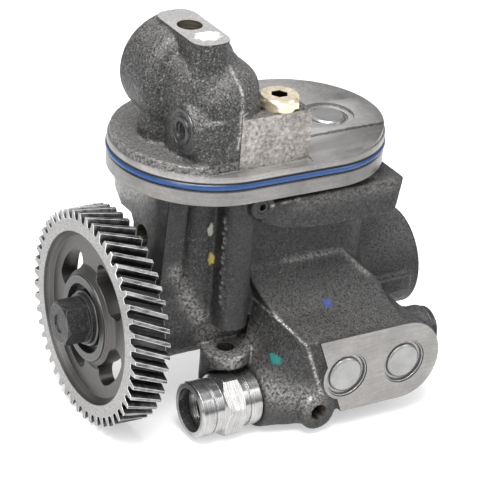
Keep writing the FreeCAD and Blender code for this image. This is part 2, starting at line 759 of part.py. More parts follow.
def oval(inset, z0, z1):
    """The flange's outline between two levels, drawn in by the inset: two arcs and their tangents."""
    (ax, ay, ar), (bx, by, br) = FLANGE_LEFT, FLANGE_RIGHT
    heading = math.atan2(by - ay, bx - ax)
    lean = math.acos((ar - br) / math.hypot(bx - ax, by - ay))
    up, down = heading + lean, heading - lean

    def at(x, y, radius, angle):
        reach = radius - inset
        return Vector(x + reach * math.cos(angle), y + reach * math.sin(angle), z0)

    a_up, a_down = at(ax, ay, ar, up), at(ax, ay, ar, down)
    b_up, b_down = at(bx, by, br, up), at(bx, by, br, down)
    edges = [
        Part.Arc(a_up, at(ax, ay, ar, heading + math.pi), a_down).toShape(),
        Part.makeLine(a_down, b_down),
        Part.Arc(b_down, at(bx, by, br, heading), b_up).toShape(),
        Part.makeLine(b_up, a_up)]
    return Part.Face(Part.Wire(edges)).extrude(Vector(0, 0, z1 - z0))


def o_ring_path(inset):
    face = [f for f in oval(inset, O_RING_Z, O_RING_Z + 1).Faces if f.CenterOfMass.z < O_RING_Z + 0.01][0]
    return face.OuterWire


def flange_o_ring():
    inset = O_RING_R - O_RING_PROUD
    path = o_ring_path(inset)
    start = path.Edges[1].Vertexes[0].Point
    heading = path.Edges[1].tangentAt(path.Edges[1].FirstParameter)
    profile = Part.Wire(Part.makeCircle(O_RING_R, start, heading))
    return Part.Wire(path.Edges).makePipeShell([profile], True, False)


def flange():
    """The machined oval with its ring groove and the ramped plate on top."""
    groove_half = O_RING_R
    floor_inset = 2 * O_RING_R - O_RING_PROUD
    lower = oval(0, FLANGE_BASE_Z, O_RING_Z - groove_half)
    middle = oval(floor_inset, O_RING_Z - groove_half - 1, O_RING_Z + groove_half + 1)
    upper = oval(0, O_RING_Z + groove_half, LAND_TOP_Z)
    plate = oval(PLATE_INSET, LAND_TOP_Z - 1, PLATE_TOP_Z)
    front_y = FLANGE_LEFT[1] - FLANGE_LEFT[2]
    x0 = BLOCK_X[1]
    outline = [(front_y - 2, LAND_TOP_Z), (front_y - 2, PLATE_TOP_Z + 2),
               (front_y + RAMP_RUN + 2 * RAMP_TILT, PLATE_TOP_Z + 2), (front_y + RAMP_RUN, PLATE_TOP_Z),
               (front_y + RAMP_EDGE, LAND_TOP_Z)]
    ramp = face_of([Vector(x0, y, z) for y, z in outline])
    plate = plate.cut(ramp.extrude(Vector(FLANGE_RIGHT[0] + FLANGE_RIGHT[2] - x0, 0, 0)))
    return [lower, middle, upper, plate]


# Casting, part by part

def tower():
    """The regulator's housing above the plate."""
    barrel = rod_y(TOWER_R, TOWER_Y[0], TOWER_Y[1], TOWER_X, TOWER_Z)
    front = [e for e in barrel.Edges if e.CenterOfMass.y < TOWER_Y[0] + 0.1]
    barrel = barrel.makeFillet(TOWER_ROUND, front)
    back = [e for e in barrel.Edges if e.CenterOfMass.y > TOWER_Y[1] - 0.1]
    barrel = barrel.makeFillet(TOWER_BACK_ROUND, back)
    dome = Part.makeSphere(DOME_R, Vector(*DOME))
    brow = Part.makeSphere(TOWER_BROW_R, Vector(*TOWER_BROW))
    wall_z = (LAND_TOP_Z - TOWER_SINK, TOWER_Z - TOWER_WALL_DROP)
    skirt = rod_z(DOME_R, wall_z[0], DOME[2], DOME[0], DOME[1])
    walls = rounded_box(TOWER_WALL_X, TOWER_WALL_Y, wall_z, TOWER_WALL_ROUND)
    neck = rounded_box((TOWER_NECK_X, TOWER_WALL_X[1]), (TOWER_NECK_Y, TOWER_WALL_Y[1]),
                       wall_z, TOWER_WALL_ROUND)
    boss = rod_x(BOSS_R, BOSS_FACE_X, TOWER_WALL_X[0] + BOSS_R, BOSS_Y, BOSS_Z)
    pad = rounded_box(PAD_X, PAD_Y, (PAD_Z - PAD_DEPTH, PAD_Z), PAD_ROUND)
    return [barrel, dome, brow, skirt, walls, neck, boss, pad]


def raised_block():
    block = box(BLOCK_X, BLOCK_Y, (LAND_TOP_Z - 2, BLOCK_TOP_Z))
    fillet = box((BLOCK_X[0], DOME[0] + DOME_R - 3), (BLOCK_Y[0] + 1, BLOCK_Y[1] + 14),
                 (LAND_TOP_Z - 2, BLOCK_TOP_Z - 6))
    return [block, fillet]


def front_relief():
    """What the milling of the block's front takes off above the flange's land."""
    low_y = FLANGE_LEFT[1] - FLANGE_LEFT[2] - 2
    return box((TOWER_WALL_X[0] - 8, BLOCK_X[1]), (low_y, BLOCK_Y[0]), (LAND_TOP_Z, PAD_Z))


def body():
    """The casting's middle, from the flange down to the main bore."""
    core = rounded_box(BODY_X, BODY_Y, (AXIS_Z, FLANGE_BASE_Z + 1), BODY_ROUND)
    case = rod_x(CASE_R, NOSE_FACE_X, REAR_FACE_X)
    front_case = rod_x(FRONT_CASE_R, NOSE_FACE_X, FRONT_CASE_END_X)
    top_z = FLANGE_BASE_Z + 1
    foot = [(y, AXIS_Z + rise) for y, rise in EAR_FOOT]
    outline = [(EAR_TOP_Y[1], top_z)] + list(EAR_NOTCH) + foot + [(EAR_TOP_Y[0], top_z)]
    ear = face_of([Vector(EAR_X[0], y, z) for y, z in outline]).extrude(Vector(BODY_X[0] + 3 - EAR_X[0], 0, 0))
    inlet = rod_y(INLET_BOSS_R, INLET_ROOT_Y, INLET_FACE_Y, INLET_X, INLET_Z)
    rear_rib = box(RIB_X, RIB_Y, (AXIS_Z + RIB_RISE[0], AXIS_Z + RIB_RISE[1]))
    return [core, case, front_case, ear, inlet, rear_rib]


def column_and_lug():
    """The upright under the flange and the bored lug that stands clear below it."""
    column = rounded_box(COLUMN_X, COLUMN_Y, (LUG_Z[1] + COLUMN_CLEAR, FLANGE_BASE_Z + 1), COLUMN_ROUND)
    lug = rod_z(LUG_R, LUG_Z[0], LUG_Z[1], *LUG_BOLT)
    tie = box(LUG_TIE_X, (LUG_BOLT[1] - 6, MANIFOLD_Y[1]), (LUG_Z[0], LUG_Z[1] - 2))
    return [column, lug, tie]


def shelf():
    """The long beam under the flange, with the boss of the gallery plug at its near end."""
    outline = [(SHELF_X[1], SHELF_DROP), (SHELF_END_X, SHELF_DEPTH), (SHELF_BEND_X[1], SHELF_DEPTH),
               (SHELF_BEND_X[0], SHELF_BEND_DEPTH), (SHELF_X[0], SHELF_START_DEPTH), (SHELF_X[0], SHELF_DROP)]
    beam = face_of([Vector(x, SHELF_Y[0], FLANGE_BASE_Z - depth) for x, depth in outline])
    beam = beam.extrude(Vector(0, SHELF_Y[1] - SHELF_Y[0], 0))
    neck = box((SHELF_X[0], SHELF_NECK_X), (SHELF_NECK_Y, SHELF_Y[1]),
               (FLANGE_BASE_Z - SHELF_START_DEPTH, FLANGE_BASE_Z + 1))
    boss = rod_y(SIDE_BOSS_R, SIDE_BOSS_Y, SHELF_Y[1], SIDE_PLUG_X, SIDE_PLUG_Z)
    return [beam, neck, boss]


def flash_plane(shape, shift=0.0):
    """Trims a shape along the mould's parting face at the block's near end."""
    top, low, back = (Vector(*p) for p in (FLASH_TOP, FLASH_LOW, FLASH_BACK))
    normal = (back - top).cross(low - top)
    return cut_plane(shape, top + Vector(shift, 0, 0), normal)


def block_slab(ys, inset):
    """The block's outline, round at its far end, as thick as ys says."""
    x0, x1 = BODY_X[0] / 2, MANIFOLD_X[1] - inset
    slab = box((x0, x1), ys, (MANIFOLD_Z[0] + inset, MANIFOLD_Z[1] - inset))
    far = [e for e in slab.Edges if abs(e.tangentAt(e.FirstParameter).y) > 0.9
           and e.CenterOfMass.x > x1 - 1]
    return slab.makeFillet(MANIFOLD_ROUND - inset, far)


def block_rise():
    """The block's top, which climbs to the body in a hollow curve."""
    x0 = BODY_X[0] / 2
    front, turn, middle, end = (Vector(x0, *p) for p in (
        (MANIFOLD_Y[0], MANIFOLD_Z[1] - CAST_INSET), RISE_TURN, RISE_MIDDLE, RISE_END))
    back = [Vector(x0, MANIFOLD_Y[1], end.z), Vector(x0, MANIFOLD_Y[1], CHECK_Z),
            Vector(x0, front.y, CHECK_Z), front]
    edges = [Part.makeLine(front, turn), Part.Arc(turn, middle, end).toShape(), Part.makeLine(end, back[0])]
    edges += [Part.makeLine(a, b) for a, b in zip(back, back[1:])]
    rise = Part.Face(Part.Wire(edges)).extrude(Vector(RISE_LOW_END[0] - x0, 0, 0))
    fall_x = RISE_LOW_END[0] - RISE_TOP_END_X
    fall_z = RISE_END[1] - RISE_LOW_END[1]
    return cut_plane(rise, Vector(RISE_TOP_END_X, 0, RISE_END[1]), Vector(fall_z, 0, fall_x))


def block_flank():
    """The block's near end, swept from the parting face to the fitting's round boss."""
    top, low, back = (Vector(*p) for p in (FLASH_TOP, FLASH_LOW, FLASH_BACK))
    corners = [top, low, low + back - top, back]
    reach = FITTING_BOSS_R

    def on_boss(angle):
        tip = math.radians(angle)
        return Vector(FITTING_BOSS_X, FITTING_Y + reach * math.cos(tip), FITTING_Z + reach * math.sin(tip))

    arcs = [Part.Arc(on_boss(a), on_boss(a + 45), on_boss(a + 90)).toShape() for a in (135, 225, 315, 45)]
    sides = [Part.makeLine(a, b) for a, b in zip(corners, corners[1:] + corners[:1])]
    return Part.makeLoft([Part.Wire(arcs), Part.Wire(sides)], True, True)


def manifold():
    """The lower block with the machined face, the flank, the bosses and the lug."""
    core = flash_plane(block_slab(MANIFOLD_Y, CAST_INSET))
    rise = flash_plane(block_rise())
    face = flash_plane(block_slab((FACE_Y, FACE_Y + FACE_DEPTH), 0.0), FACE_MARGIN)
    bosses = [rod_y(CHECK_BOSS_R, FACE_Y, FACE_Y + FACE_DEPTH, x, CHECK_Z) for x in CHECK_X]
    lug = rod_y(LOWER_LUG_R, FACE_Y + CAST_INSET, FACE_Y + LOWER_LUG_DEPTH, LOWER_LUG_X, LOWER_LUG_Z)
    end = rod_x(END_PLUG_R + END_BOSS_WALL, MANIFOLD_X[1] - MANIFOLD_ROUND,
                MANIFOLD_X[1] + END_BOSS_PROUD, END_PLUG_Y, END_PLUG_Z)
    return [core, rise, face, block_flank(), lug, end] + bosses


def main_bore():
    """The stepped bore that holds the shaft and the rotating group."""
    return [
        rod_x(BEARING_R, NOSE_FACE_X - 1, BEARING_REAR_X),
        rod_x(BEARING_R + RING_GROOVE, SEAL_X + SEAL_WIDTH, BEARING_FRONT_X),
        rod_x(NECK_R, BEARING_REAR_X - 1, BORE_START_X + 1),
        rod_x(BORE_R, BORE_START_X, REAR_FACE_X + 1),
        rod_x(BORE_R + RING_GROOVE, CAP_END_X, CAP_END_X + RING_T)]


def ports():
    """Every hole that is bored into the casting from outside."""
    holes = [
        rod_y(TOWER_BORE_R, TOWER_Y[1] - TOWER_BORE_DEPTH, TOWER_Y[1] + 1, TOWER_X, TOWER_Z),
        rod_z(PAD_HOLE_R, PAD_Z - PAD_HOLE_DEPTH, PAD_Z + 20, *PAD_HOLE),
        rod_x(BOSS_HOLE_R, BOSS_FACE_X - 1, BOSS_FACE_X + BOSS_HOLE_DEPTH, BOSS_Y, BOSS_Z),
        rod_x(EAR_HOLE_R, EAR_X[0] - 1, EAR_X[1] + 6, *EAR_HOLE),
        rod_z(LUG_BOLT_R, LUG_Z[1] - LUG_HOLE_DEPTH, LUG_Z[1] + 1, *LUG_BOLT),
        rod_y(SIDE_PLUG_R, SIDE_BOSS_Y - 1, SIDE_BOSS_Y + SIDE_PLUG_DEPTH, SIDE_PLUG_X, SIDE_PLUG_Z),
        rod_y(INLET_R, INLET_FACE_Y - INLET_DEPTH, INLET_FACE_Y + 1, INLET_X, INLET_Z),
        rod_y(LOWER_HOLE_R, FACE_Y - 1, FACE_Y + LOWER_HOLE_DEPTH, LOWER_LUG_X, LOWER_LUG_Z),
        rod_x(FITTING_SHANK_R, FITTING_BOSS_X - 1, FITTING_BOSS_X + FITTING_SHANK_LENGTH + 2,
              FITTING_Y, FITTING_Z),
        rod_x(END_PLUG_R - END_PLUG_STEP, MANIFOLD_X[1] - END_PLUG_DEPTH, MANIFOLD_X[1] + 1,
              END_PLUG_Y, END_PLUG_Z),
        rod_x(FITTING_CORNER_R + FITTING_RELIEF, FITTING_FRONT_X, FITTING_BOSS_X,
              FITTING_Y, FITTING_Z),
        rod_z(GOLD_SHANK_R, BLOCK_TOP_Z - GOLD_SHANK_LENGTH - 3, BLOCK_TOP_Z + 1, *GOLD_PLUG),
        rod_z(GOLD_HEAD_R + GOLD_SEAT_GAP, BLOCK_TOP_Z, PAD_Z, *GOLD_PLUG),
        rod_z(PLATE_RECESS_R, PLATE_TOP_Z - PLATE_RECESS, PLATE_TOP_Z + 5, *PLATE_PLUG),
        rod_z(PLATE_PLUG_R + PLATE_CUP_WALL, PLATE_TOP_Z - PLATE_RECESS - PLATE_CUP_DEPTH, PLATE_TOP_Z,
              *PLATE_PLUG)]
    for x in CHECK_X:
        holes.append(rod_y(CHECK_R, FACE_Y - 1, FACE_Y + CHECK_DEPTH, x, CHECK_Z))
    return holes


def pump_housing():
    solids = flange() + tower() + raised_block() + body() + column_and_lug() + shelf() + manifold()
    casting = joined(solids).cut(front_relief())
    return casting.cut(Part.makeCompound(main_bore())).cut(Part.makeCompound(ports())).removeSplitter()


# Plugs

def top_port_plug():
    x, y = GOLD_PLUG
    z = BLOCK_TOP_Z
    head_z = z + GOLD_COLLAR_T
    top = head_z + GOLD_HEAD_T
    head = hex_z(GOLD_HEAD_R * math.sqrt(3), head_z, top, x, y)
    trim = turned_z([(z, 0), (z, GOLD_HEAD_R + 0.4), (top - 2.6, GOLD_HEAD_R + 0.4),
                     (top - 1.2, GOLD_HEAD_R - 1.4), (top, GOLD_HEAD_R - 2.0), (top, 0)], x, y)
    collar = rod_z(GOLD_HEAD_R - 1.8, z, head_z, x, y)
    shank = rod_z(GOLD_SHANK_R, z - GOLD_SHANK_LENGTH, z, x, y)
    socket = hex_z(GOLD_SOCKET, top - GOLD_SOCKET_DEPTH, top + 1, x, y)
    return joined([head.common(trim), collar, shank]).cut(socket).cut(gold_neck(1.0))


def gold_neck(outset):
    """The ring of room cut round the gold plug's shank under its head."""
    low, high = (BLOCK_TOP_Z - depth for depth in GOLD_NECK)
    inner, outer = GOLD_SHANK_R - GOLD_NECK_DEPTH, GOLD_SHANK_R + outset
    return turned_z([(low, outer), (low, inner), (high, inner), (high, outer)], *GOLD_PLUG)


def top_plug_seal():
    return gold_neck(0.0)


def plate_cup_plug():
    z = PLATE_TOP_Z - PLATE_RECESS
    top = z + PLATE_PLUG_PROUD
    outer = PLATE_PLUG_R + PLATE_CUP_WALL
    foot, ceiling, rim = z - PLATE_CUP_DEPTH, z - PLATE_CUP_FLOOR, z - PLATE_CUP_RIM
    return turned_z([
        (foot, outer), (foot, PLATE_PLUG_R), (ceiling, PLATE_PLUG_R), (ceiling, 0), (top, 0),
        (top, PLATE_PLUG_R - PLATE_PLUG_PROUD), (top - 1.0, PLATE_PLUG_R), (rim, PLATE_PLUG_R),
        (rim, outer)], *PLATE_PLUG)


def block_cup_plugs():
    """Two pressed cups that close the check-valve bores."""
    cups = []
    for x in CHECK_X:
        back = FACE_Y + CUP_DEPTH
        cups.append(turned_y([
            (FACE_Y + 0.4, CUP_R), (back, CUP_R), (back, 0), (FACE_Y + 0.2, 0),
            (FACE_Y + 0.2, CUP_DISC_R - 1), (FACE_Y + 1.2, CUP_DISC_R), (FACE_Y + 2.4, CUP_DISC_R),
            (FACE_Y + 2.4, CUP_R - 1.2), (FACE_Y + 0.4, CUP_R - 0.8)], x, CHECK_Z))
    return Part.makeCompound(cups)


def check_seats():
    end = FACE_Y + CHECK_DEPTH
    rings = []
    for x in CHECK_X:
        rings.append(turned_y([
            (end - SEAT_RING_LENGTH, CHECK_R), (end, CHECK_R), (end, SEAT_RING_BORE_R),
            (end - SEAT_RING_LENGTH + POPPET_NOSE, SEAT_RING_BORE_R),
            (end - SEAT_RING_LENGTH, SEAT_RING_BORE_R + POPPET_NOSE)], x, CHECK_Z))
    return Part.makeCompound(rings)


def check_poppet(x):
    """A hollow poppet whose cone rests on the seat, open towards its spring."""
    seat = FACE_Y + CHECK_DEPTH - SEAT_RING_LENGTH
    mouth = seat - POPPET_LENGTH
    hollow = POPPET_R - POPPET_WALL
    cone = seat - FACE_GAP
    return turned_y([
        (mouth, POPPET_R), (seat - POPPET_NOSE / 2, POPPET_R),
        (cone, SEAT_RING_BORE_R + POPPET_NOSE), (cone + POPPET_NOSE, SEAT_RING_BORE_R),
        (cone + POPPET_NOSE, 0), (seat - POPPET_FLOOR, 0), (seat - POPPET_FLOOR, hollow),
        (mouth, hollow)], x, CHECK_Z)


def check_guides():
    """Sleeves in the check bores that guide the poppets."""
    seat = FACE_Y + CHECK_DEPTH - SEAT_RING_LENGTH
    sleeves = []
    for x in CHECK_X:
        outer = rod_y(CHECK_R, seat - POPPET_LENGTH - GUIDE_LIP, seat, x, CHECK_Z)
        inner = rod_y(POPPET_R + RUN_GAP, seat - POPPET_LENGTH - GUIDE_LIP - 1, seat + 1, x, CHECK_Z)
        slots = box((x - GUIDE_SLOT_WIDTH / 2, x + GUIDE_SLOT_WIDTH / 2), (seat - GUIDE_SLOT_LENGTH, seat),
                    (CHECK_Z - 2 * CHECK_R, CHECK_Z + 2 * CHECK_R))
        core = rod_y(CHECK_R - GUIDE_SLOT_DEPTH, seat - GUIDE_SLOT_LENGTH - 1, seat + 1, x, CHECK_Z)
        sleeves.append(outer.cut(inner).cut(slots.cut(core)))
    return Part.makeCompound(sleeves)


def check_spring(x):
    """A spring of square wire between the cup plug and the poppet."""
    start = FACE_Y + CUP_DEPTH + CHECK_WIRE / 2 + RUN_GAP
    end = FACE_Y + CHECK_DEPTH - SEAT_RING_LENGTH - POPPET_FLOOR - CHECK_WIRE / 2 - RUN_GAP
    length = end - start
    helix = Part.makeHelix(length / CHECK_SPRING_TURNS, length, CHECK_SPRING_R)
    half = CHECK_WIRE / 2
    corners = [Vector(CHECK_SPRING_R + a * half, 0, b * half) for a, b in ((-1, -1), (1, -1), (1, 1), (-1, 1))]
    profile = Part.makePolygon(corners + [corners[0]])
    coil = Part.Wire(helix.Edges).makePipeShell([profile], True, True)
    coil.Placement = FreeCAD.Placement(Vector(x, start, CHECK_Z), FreeCAD.Rotation(Z_AXIS, Y_AXIS))
    return coil


def side_gallery_plug():
    y0 = SIDE_BOSS_Y + SIDE_PLUG_SINK
    plug = rod_y(SIDE_PLUG_R, y0, SIDE_BOSS_Y + SIDE_PLUG_DEPTH, SIDE_PLUG_X, SIDE_PLUG_Z)
    return plug.cut(rod_y(SIDE_SOCKET_R, y0 - 1, SIDE_BOSS_Y + SIDE_SOCKET_DEPTH, SIDE_PLUG_X, SIDE_PLUG_Z))


def boss_plug():
    x0 = BOSS_FACE_X + BOSS_PLUG_SINK
    plug = rod_x(BOSS_HOLE_R, x0, BOSS_FACE_X + BOSS_HOLE_DEPTH, BOSS_Y, BOSS_Z)
    return plug.cut(hex_x(BOSS_SOCKET, x0 - 1, BOSS_FACE_X + BOSS_SOCKET_DEPTH, BOSS_Y, BOSS_Z))


def end_plug():
    x = MANIFOLD_X[1] + END_BOSS_PROUD
    top = x + END_PLUG_PROUD
    shank = rod_x(END_PLUG_R - END_PLUG_STEP, x + 1 - END_PLUG_DEPTH, x, END_PLUG_Y, END_PLUG_Z)
    head = rod_x(END_PLUG_R, x, top, END_PLUG_Y, END_PLUG_Z)
    head = head.makeChamfer(END_PLUG_BEVEL, [e for e in head.Edges if e.CenterOfMass.x > top - 0.1])
    socket = hex_x(END_SOCKET, top - END_SOCKET_DEPTH, top + 1, END_PLUG_Y, END_PLUG_Z)
    return joined([shank, head]).cut(socket)


# Discharge fitting

def discharge_fitting():
    x0 = FITTING_FRONT_X
    end = FITTING_BOSS_X
    hex_x0, hex_x1 = x0 + FITTING_HEX[0], x0 + FITTING_HEX[1]
    spin = turned_x([
        (x0, 0), (x0, FITTING_R - 1), (x0 + 1, FITTING_R), (x0 + 7.2, FITTING_R),
        (x0 + 7.6, FITTING_R - 1.0), (x0 + 8.3, FITTING_R - 1.0), (x0 + 8.6, FITTING_R - 0.2),
        (x0 + 9.4, FITTING_R - 0.2), (x0 + 9.8, FITTING_R - 0.8), (hex_x1 + 2.6, FITTING_R - 0.8),
        (hex_x1 + 3.0, FITTING_R - 1.4), (hex_x1 + 3.6, FITTING_R - 1.4), (hex_x1 + 4.0, FITTING_R - 0.5),
        (end - 0.8, FITTING_R - 0.5), (end, FITTING_R - 1.3), (end, FITTING_SHANK_R),
        (end + FITTING_SHANK_LENGTH, FITTING_SHANK_R), (end + FITTING_SHANK_LENGTH, 0)],
        FITTING_Y, FITTING_Z)
    flats = hex_x(FITTING_FLATS, hex_x0, hex_x1, FITTING_Y, FITTING_Z, FITTING_TURN)
    trim = turned_x([(hex_x0, 0), (hex_x0, FITTING_R - 0.6), (hex_x0 + 2.4, FITTING_CORNER_R),
                     (hex_x1 - 1.6, FITTING_CORNER_R), (hex_x1, FITTING_R), (hex_x1, 0)],
                    FITTING_Y, FITTING_Z)
    bore = turned_x([
        (x0 - 1, 0), (x0 - 1, FITTING_BORE_R), (x0 + FITTING_BORE_DEPTH, FITTING_BORE_R),
        (x0 + FITTING_BORE_DEPTH, FITTING_STEP_R), (x0 + 24, FITTING_STEP_R),
        (x0 + 26, FITTING_THROAT_R), (end + FITTING_SHANK_LENGTH + 1, FITTING_THROAT_R),
        (end + FITTING_SHANK_LENGTH + 1, 0)], FITTING_Y, FITTING_Z)
    return joined([spin, flats.common(trim)]).cut(bore).cut(fitting_seal_ring())


def fitting_seal_ring():
    """The ring that seals the mating tube, flush in its groove in the fitting's bore."""
    x = FITTING_FRONT_X + FITTING_RING_X
    half = FITTING_RING_T / 2
    return tube_x(FITTING_BORE_R + FITTING_RING_T, FITTING_BORE_R, x - half, x + half, FITTING_Y, FITTING_Z)


def export(name, shape):
    shape = shape.copy()
    shape.translate(Vector(-MID_X, -MID_Y, -FLOOR_Z))
    shape.exportStep("parts/%s.step" % name)


def nodes():
    yield "pump_housing", pump_housing()
    yield "flange_o_ring", flange_o_ring()
    yield "drive_gear", drive_gear()
    yield "gear_washer", gear_washer()
    yield "gear_bolt", gear_bolt()
    yield "shaft_key", shaft_key()
    yield "drive_shaft", drive_shaft()
    yield "bearing_inner_race", race(JOURNAL_R, BALL_PITCH_R - RACE_LIP - RACE_GAP)
    yield "bearing_outer_race", race(BALL_PITCH_R + RACE_LIP + RACE_GAP, BEARING_R)
    yield "bearing_balls", bearing_balls()
    yield "bearing_cage", bearing_cage()
    yield "shaft_seal", shaft_seal()
    yield "bearing_retaining_ring", bearing_retaining_ring()
    yield "swash_plate", swash_plate()
    yield "thrust_cage", thrust_cage()
    yield "thrust_needles", thrust_needles()
    yield "thrust_race", thrust_race()
    yield "pistons", pistons()
    yield "cylinder_barrel", cylinder_barrel()
    yield "barrel_key", barrel_key()
    yield "barrel_springs", barrel_springs()
    yield "valve_plate", valve_plate()
    yield "valve_plate_pin", valve_pin()
    yield "rear_port_cap", rear_port_cap()
    yield "rear_cap_seal", rear_cap_seal()
    yield "rear_bush", rear_bush()
    yield "rear_snap_ring", rear_snap_ring()
    yield "top_port_plug", top_port_plug()
    yield "top_plug_seal", top_plug_seal()
    yield "plate_cup_plug", plate_cup_plug()
    yield "block_cup_plugs", block_cup_plugs()
    yield "check_seats", check_seats()
    yield "check_guides", check_guides()
    for number, x in enumerate(CHECK_X, 1):
        yield "check_poppet_%d" % number, check_poppet(x)
        yield "check_spring_%d" % number, check_spring(x)
    yield "side_gallery_plug", side_gallery_plug()
    yield "boss_plug", boss_plug()
    yield "end_plug", end_plug()
    yield "discharge_fitting", discharge_fitting()
    yield "fitting_seal_ring", fitting_seal_ring()


os.makedirs("parts", exist_ok=True)
for node_name, node_shape in nodes():
    export(node_name, node_shape)
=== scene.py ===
import json
import math
from contextlib import contextmanager

import bmesh
import bpy
import numpy as np
from mathutils import Matrix, Vector, noise
from mathutils.bvhtree import BVHTree

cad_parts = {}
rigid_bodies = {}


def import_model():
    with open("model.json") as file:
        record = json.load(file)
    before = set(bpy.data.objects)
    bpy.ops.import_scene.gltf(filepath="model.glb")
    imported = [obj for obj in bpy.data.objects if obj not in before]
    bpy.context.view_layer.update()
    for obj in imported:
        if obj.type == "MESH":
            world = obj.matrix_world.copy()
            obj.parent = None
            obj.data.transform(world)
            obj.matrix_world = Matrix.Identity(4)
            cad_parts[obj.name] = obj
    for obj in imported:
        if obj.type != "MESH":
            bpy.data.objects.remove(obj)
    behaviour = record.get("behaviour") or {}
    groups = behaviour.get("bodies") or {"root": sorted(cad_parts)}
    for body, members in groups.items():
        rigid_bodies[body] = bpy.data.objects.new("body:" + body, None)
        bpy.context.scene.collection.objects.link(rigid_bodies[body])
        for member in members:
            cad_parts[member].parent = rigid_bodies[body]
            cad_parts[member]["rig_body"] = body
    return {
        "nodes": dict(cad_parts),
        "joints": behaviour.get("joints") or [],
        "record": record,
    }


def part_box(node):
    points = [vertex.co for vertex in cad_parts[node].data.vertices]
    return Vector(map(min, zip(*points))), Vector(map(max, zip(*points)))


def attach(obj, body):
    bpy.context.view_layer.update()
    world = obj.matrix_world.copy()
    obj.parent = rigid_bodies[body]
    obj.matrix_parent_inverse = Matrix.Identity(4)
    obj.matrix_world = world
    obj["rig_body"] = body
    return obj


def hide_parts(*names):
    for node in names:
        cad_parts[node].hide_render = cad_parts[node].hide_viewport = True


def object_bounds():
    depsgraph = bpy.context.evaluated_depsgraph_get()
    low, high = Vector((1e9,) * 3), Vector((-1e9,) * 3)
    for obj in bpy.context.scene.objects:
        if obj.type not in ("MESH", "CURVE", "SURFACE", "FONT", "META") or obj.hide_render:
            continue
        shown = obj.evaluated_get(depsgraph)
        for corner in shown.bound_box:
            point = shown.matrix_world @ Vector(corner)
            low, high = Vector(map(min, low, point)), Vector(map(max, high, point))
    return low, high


# High-pressure oil pump. Metres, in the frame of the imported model: X runs along
# the drive shaft, -Y points out of the milled block face and Z is up.

MM = 0.001
PHOTO_WIDTH = 489
PHOTO_HEIGHT = 491

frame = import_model()
cad_low, cad_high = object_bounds()
mounts = {m["name"]: m for m in frame["record"]["mounts"]}
joints = {j["name"]: j for j in frame["joints"]}
AXIS = Vector(joints["rotor_spin"]["pos_m"])

# Camera, fitted to the photograph
CAMERA_AZIMUTH = -32.4
CAMERA_ELEVATION = 27.3
CAMERA_ROLL = 4.5
CAMERA_DISTANCE = 1.274
CAMERA_TARGET = Vector((0.0065, 0.00625, 0.0808))
CAMERA_FOCAL_PIXELS = 2400
SENSOR = 36.0

# Levels and faces of the casting in mm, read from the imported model
RING_LOW, RING_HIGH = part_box("flange_o_ring")
RING_Z = (RING_LOW.z + RING_HIGH.z) / 2 / MM
FLANGE_BASE_Z = RING_Z - 10.0
LAND_Z = RING_Z + 5.8
PLATE_Z = RING_Z + 10.2
BLOCK_FRONT_Y = RING_LOW.y / MM + 8.8
BLOCK_MILLED_X = -27.7
PLATE_CAST_X = -22.0
FACE_Y = cad_low.y / MM
PAD_Z = cad_high.z / MM
REAR_X = cad_high.x / MM
TOWER_MOUTH_Y = mounts["regulator_port"]["pos_m"][1] / MM + 10.0
INLET_FACE_Y = mounts["inlet_port"]["pos_m"][1] / MM + 8.0
EAR_FACE_X = mounts["ear_bolt_hole"]["pos_m"][0] / MM - 7.0
BOSS_CENTRE = (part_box("boss_plug")[0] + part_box("boss_plug")[1]) / 2
BOSS_FACE_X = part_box("boss_plug")[0].x / MM - 1.5
GOLD_CENTRE = (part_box("top_port_plug")[0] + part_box("top_port_plug")[1]) / 2
GOLD_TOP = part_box("top_port_plug")[1].z
SOCKET_R = (4.75 * MM, 4.6 * MM)

# Boxes in mm that tell one face of the casting from others at its level
ANYWHERE = ((-200, -200, -10), (200, 200, 300))
TOWER_FOOT = ((-62, -37.5, 150), (13.5, 22, 156))
TOWER_MOUTH = ((-80, 15, 160), (0, 30, 220))
BLOCK_FACE = ((BLOCK_MILLED_X, -45, 150), (14, -30, 182))
EAR_FACE = ((-62, -60, 60), (-55, 60, FLANGE_BASE_Z))

# How near in mm a point is to a plane or a bore's wall, and the share of its
# direction that counts as square on, as upright and as lying
PLANE_REACH = 0.25
BORE_REACH = 0.3
BORE_MARGIN = 6
SQUARE_ON = 0.9
UPRIGHT = 0.4
LYING = 0.5
GROOVE_HALF = 2.1

# Helix of the gear's teeth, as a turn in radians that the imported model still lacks
GEAR_FRONT_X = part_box("drive_gear")[0].x
GEAR_WIDTH = 20.0 * MM
HELIX_TURN = 0.103
HELIX_RADII = (30.0 * MM, 52.0 * MM)
# Radius from which the gear's broken edges keep their worn material, lighter as a painted highlight
WORN_HIGHLIGHT_EDGE_FROM_R = 50.0 * MM

# Radii in mm between which one finish of the gear gives way to the next, the painted shade at the
# tooth roots gives way to the flanks and the painted highlight on the lands begins; one radius
# holds a painted shade line at the rim's inner edge
HUB_EDGE = (22.0, 24.5)
RIM_EDGE = (45.0, 46.2)
RIM_SHADE_LINE = 45.6
TOOTH_FOOT = (51.6, 52.4)
TOOTH_FLANK = (54.5, 57.2)
TOOTH_LAND = (57.2, 57.4)

# Shaping of the casting and of broken edges; lengths without a unit are mm
VOXEL = 0.7 * MM
CAST_ROUNDS = 14
CAST_SHARE = 0.5
CAST_LUMP = 0.16
CAST_LUMP_SIZE = 5.0
CAST_GRAIN = 0.08
CAST_GRAIN_SIZE = 1.9
CAST_ANGLE = 50.0
SKIN_DEPTH = 0.35
SKIN_EDGE = 0.4 * MM
CRISP_RINGS = 2
CRISP_ANGLE = 24.0
SMOOTH_ANGLE = 35.0
BEVEL_ANGLE = 32.0
FLAT_ANGLE = 1.0
LATHE_SEGMENTS = 72
WELD = 0.002 * MM
